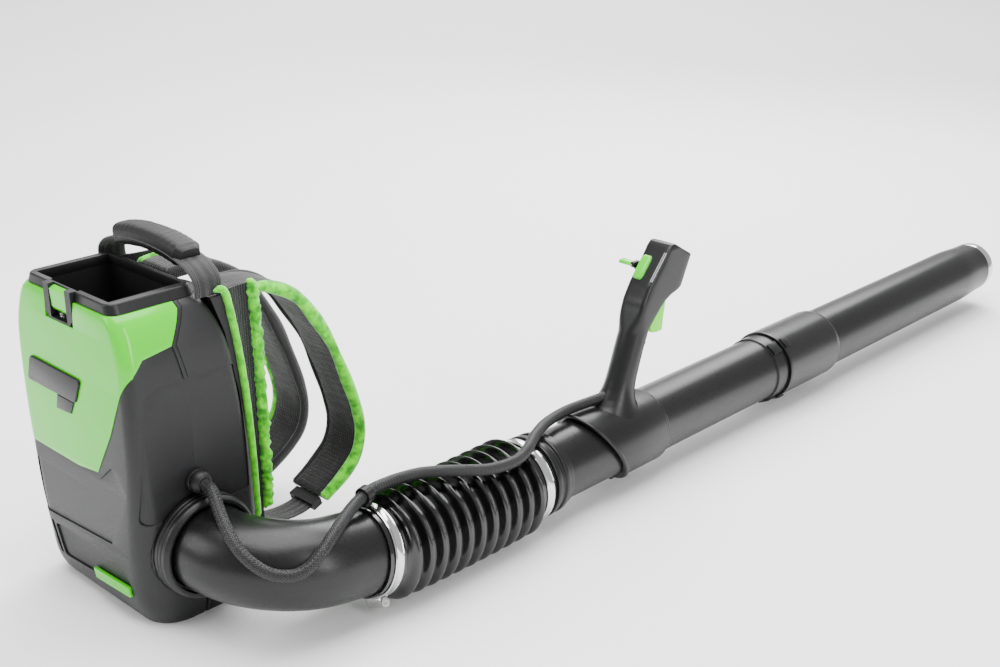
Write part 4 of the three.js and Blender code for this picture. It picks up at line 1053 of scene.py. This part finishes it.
def ribbon(name, line, x0, x1, thick, count, around=40, lump=0.0, power=4.0, offset=0.0, seed=0):
    frames, length = route([(0, y, z) for y, z in line], count, up=(1, 0, 0))
    middle, half = (x0 + x1) / 2, (x1 - x0) / 2

    def place(u, v):
        point, way, _, _ = frames[round(v * count)]
        normal = Vector((1, 0, 0)).cross(way).normalized()
        a, b = rounded(u, half, thick / 2, power)
        swell = lump * noise.noise(Vector((a * 0.03, v * length * 0.018, seed)))
        fade = min(1.0, v * count / 2.0 + 0.55, (1 - v) * count / 2.0 + 0.55)
        return point + Vector((middle + a, 0, 0)) + normal * (b * (1 + swell) * fade + offset)
    return surface(name, around, count, place), length


def makeStraps():
    for side, tag in ((1, "Right"), (-1, "Left")):
        near, far = harness["inner"], harness["outer"]
        x0, x1 = (near, far) if side > 0 else (-far, -near)
        pad, length = ribbon("shoulderStrap" + tag, strapLine, x0 + 3, x1 - 3, harness["thick"], 150, 56, 0.22, 3.2, 0,
                             side)
        smoothed(pad, 60)
        fit(pad, "housing", harnessMesh, "black_fabric", "shoulder_strap_" + tag.lower())
        for edge, outer in ((x1 - 5.5, side > 0), (x0 + 5.5, side < 0)):
            cloth = limeBinding if outer else webCloth
            half = 6.6 if outer else 4.0
            trim, _ = ribbon("strapEdge" + tag + ("Outer" if outer else "Inner"), strapLine, edge - half, edge + half,
                             13.4, 190, 20, 0.5, 2.0, 0, 5 + side)
            smoothed(trim, 60)
            fit(trim, "housing", cloth, "black_fabric")
        web, _ = ribbon("lowerWebbing" + tag, webLine, side * 52 - 17, side * 52 + 17, 2.4, 90, 24, 0.0, 6.0)
        smoothed(web, 60)
        fit(web, "housing", webCloth, "black_fabric", "lower_webbing_" + tag.lower())


makeStraps()
print("stage: straps")


def makeBackPad():
    def pad(u, v):
        a = 2 * math.pi * u
        half, high = 88.0, 119.0
        c, s = math.cos(a), math.sin(a)
        x = half * math.copysign(abs(c) ** 0.45, c)
        z = 207.5 + high * math.copysign(abs(s) ** 0.45, s)
        rows = (0.0, 0.08, 0.3, 0.62, 0.86, 1.0)
        t = rows[min(round(v * 5), 5)]
        shrink = (1.0, 1.0, 0.99, 0.97, 0.9, 0.6)[min(round(v * 5), 5)]
        z = 207.5 + (z - 207.5) * shrink
        front = 70.0 + max(0.0, (z - 240) * 0.09)
        wobble = 1.6 * noise.noise(Vector((x * 0.02, z * 0.02, 3.0)))
        return x * shrink, front + 20.0 * t + wobble * t, z
    body = surface("backPad", 96, 5, pad)
    smoothed(body, 60)
    fit(body, "housing", harnessMesh, "black_fabric", "back_pad")


makeBackPad()

# carry handle
carryLine = [(-90.6, 349.5), (-91.5, 358), (-88, 369), (-72, 380), (-38, 388), (0, 390.5), (38, 388), (72, 380),
             (88, 369), (91.5, 358), (90.6, 349.5)]


def makeCarry():
    frames, length = route([(x, 32, z) for x, z in carryLine], 160, up=(0, 1, 0))

    def web(u, v):
        point, way, _, _ = frames[round(v * 160)]
        normal = Vector((0, 1, 0)).cross(way).normalized()
        a, b = rounded(u, 16.6, 1.5, 6.0)
        return point + Vector((0, a, 0)) + normal * b
    strap = surface("carryWebbing", 28, 160, web)
    smoothed(strap, 60)
    fit(strap, "housing", webCloth, "black_fabric", "carry_webbing")
    low, high = 35, 125

    def grip(u, v):
        k = round(low + (high - low) * v)
        point, way, _, _ = frames[k]
        normal = Vector((0, 1, 0)).cross(way).normalized()
        a, b = rounded(u, 16.5, 12.0, 3.2)
        rib = 1.0 + (0.05 if (k // 3) % 2 and not 66 < k < 94 else 0.0)
        ends = min(1.0, 0.72 + 0.28 * min(v, 1 - v) * 18)
        return point + Vector((0, a * ends, 0)) + normal * (b * rib * ends - 2.0)
    body = surface("carryGrip", 48, high - low, grip)
    smoothed(body, 35)
    fit(body, "housing", mattRubber, "black_rubber", "carry_grip")


makeCarry()
print("stage: carry handle")

# piping round the pad on the housing side, gusset, fuzzy binding
piping = [(35, 355), (47, 352), (54, 320), (60, 280), (65, 230), (68, 170), (69, 110), (69, 80)]
bindingLine = [(84, 353), (88, 345), (90, 300), (91, 240), (91, 160), (91, 100), (86, 84)]


def makePiping():
    for side in (1, -1):
        tag = "Right" if side > 0 else "Left"
        frames, length = route([(side * 97, y, z) for y, z in piping], 130, up=(1, 0, 0))

        def cord(u, v):
            point, way, a, b = frames[round(v * 130)]
            angle = 2 * math.pi * u
            swell = (1.0 + 0.1 * noise.noise(Vector((v * 24, side, 1.0)))) * min(1.0, 0.35 + min(v, 1 - v) * 26)
            return point + a * (4.0 * swell * math.cos(angle)) + b * (5.2 * swell * math.sin(angle))
        tube = surface("padPiping" + tag, 20, 130, cord)
        smoothed(tube, 60)
        fit(tube, "housing", limePiping, "lime_cover")
        frames2, _ = route([(side * 88, y, z) for y, z in bindingLine], 170, up=(1, 0, 0))

        def trim(u, v):
            point, way, a, b = frames2[round(v * 170)]
            angle = 2 * math.pi * u
            swell = 1.0 + 0.42 * noise.noise(Vector((v * 46, math.cos(angle), 4.0 + side)))
            swell *= min(1.0, 0.35 + min(v, 1 - v) * 26)
            return point + a * (6.0 * swell * math.cos(angle)) + b * (7.4 * swell * math.sin(angle))
        cloth = surface("padBinding" + tag, 22, 170, trim)
        smoothed(cloth, 60)
        fit(cloth, "housing", limeBinding, "lime_cover")

        def gusset(u, v):
            z = 350 - 268 * v
            outerY = np.interp(z, [80, 110, 170, 230, 280, 320, 355], [69, 69, 68, 65, 60, 54, 38])
            innerY = np.interp(z, [80, 100, 160, 240, 300, 345, 355], [84, 89, 90, 90, 89, 87, 82])
            outer, inner = Vector((side * 95, outerY, z)), Vector((side * 87, innerY, z))
            sag = 3.0 * math.sin(math.pi * u)
            return outer.lerp(inner, u) - Vector((side * sag, 0, 0))
        wall = surface("padGusset" + tag, 10, 80, gusset, False, False)
        thick = wall.modifiers.new("wall", "SOLIDIFY")
        thick.thickness = 2.0 * mm
        activate(wall)
        bpy.ops.object.modifier_apply(modifier=thick.name)
        smoothed(wall, 60)
        fit(wall, "housing", harnessMesh, "black_fabric")


makePiping()
print("stage: trims")
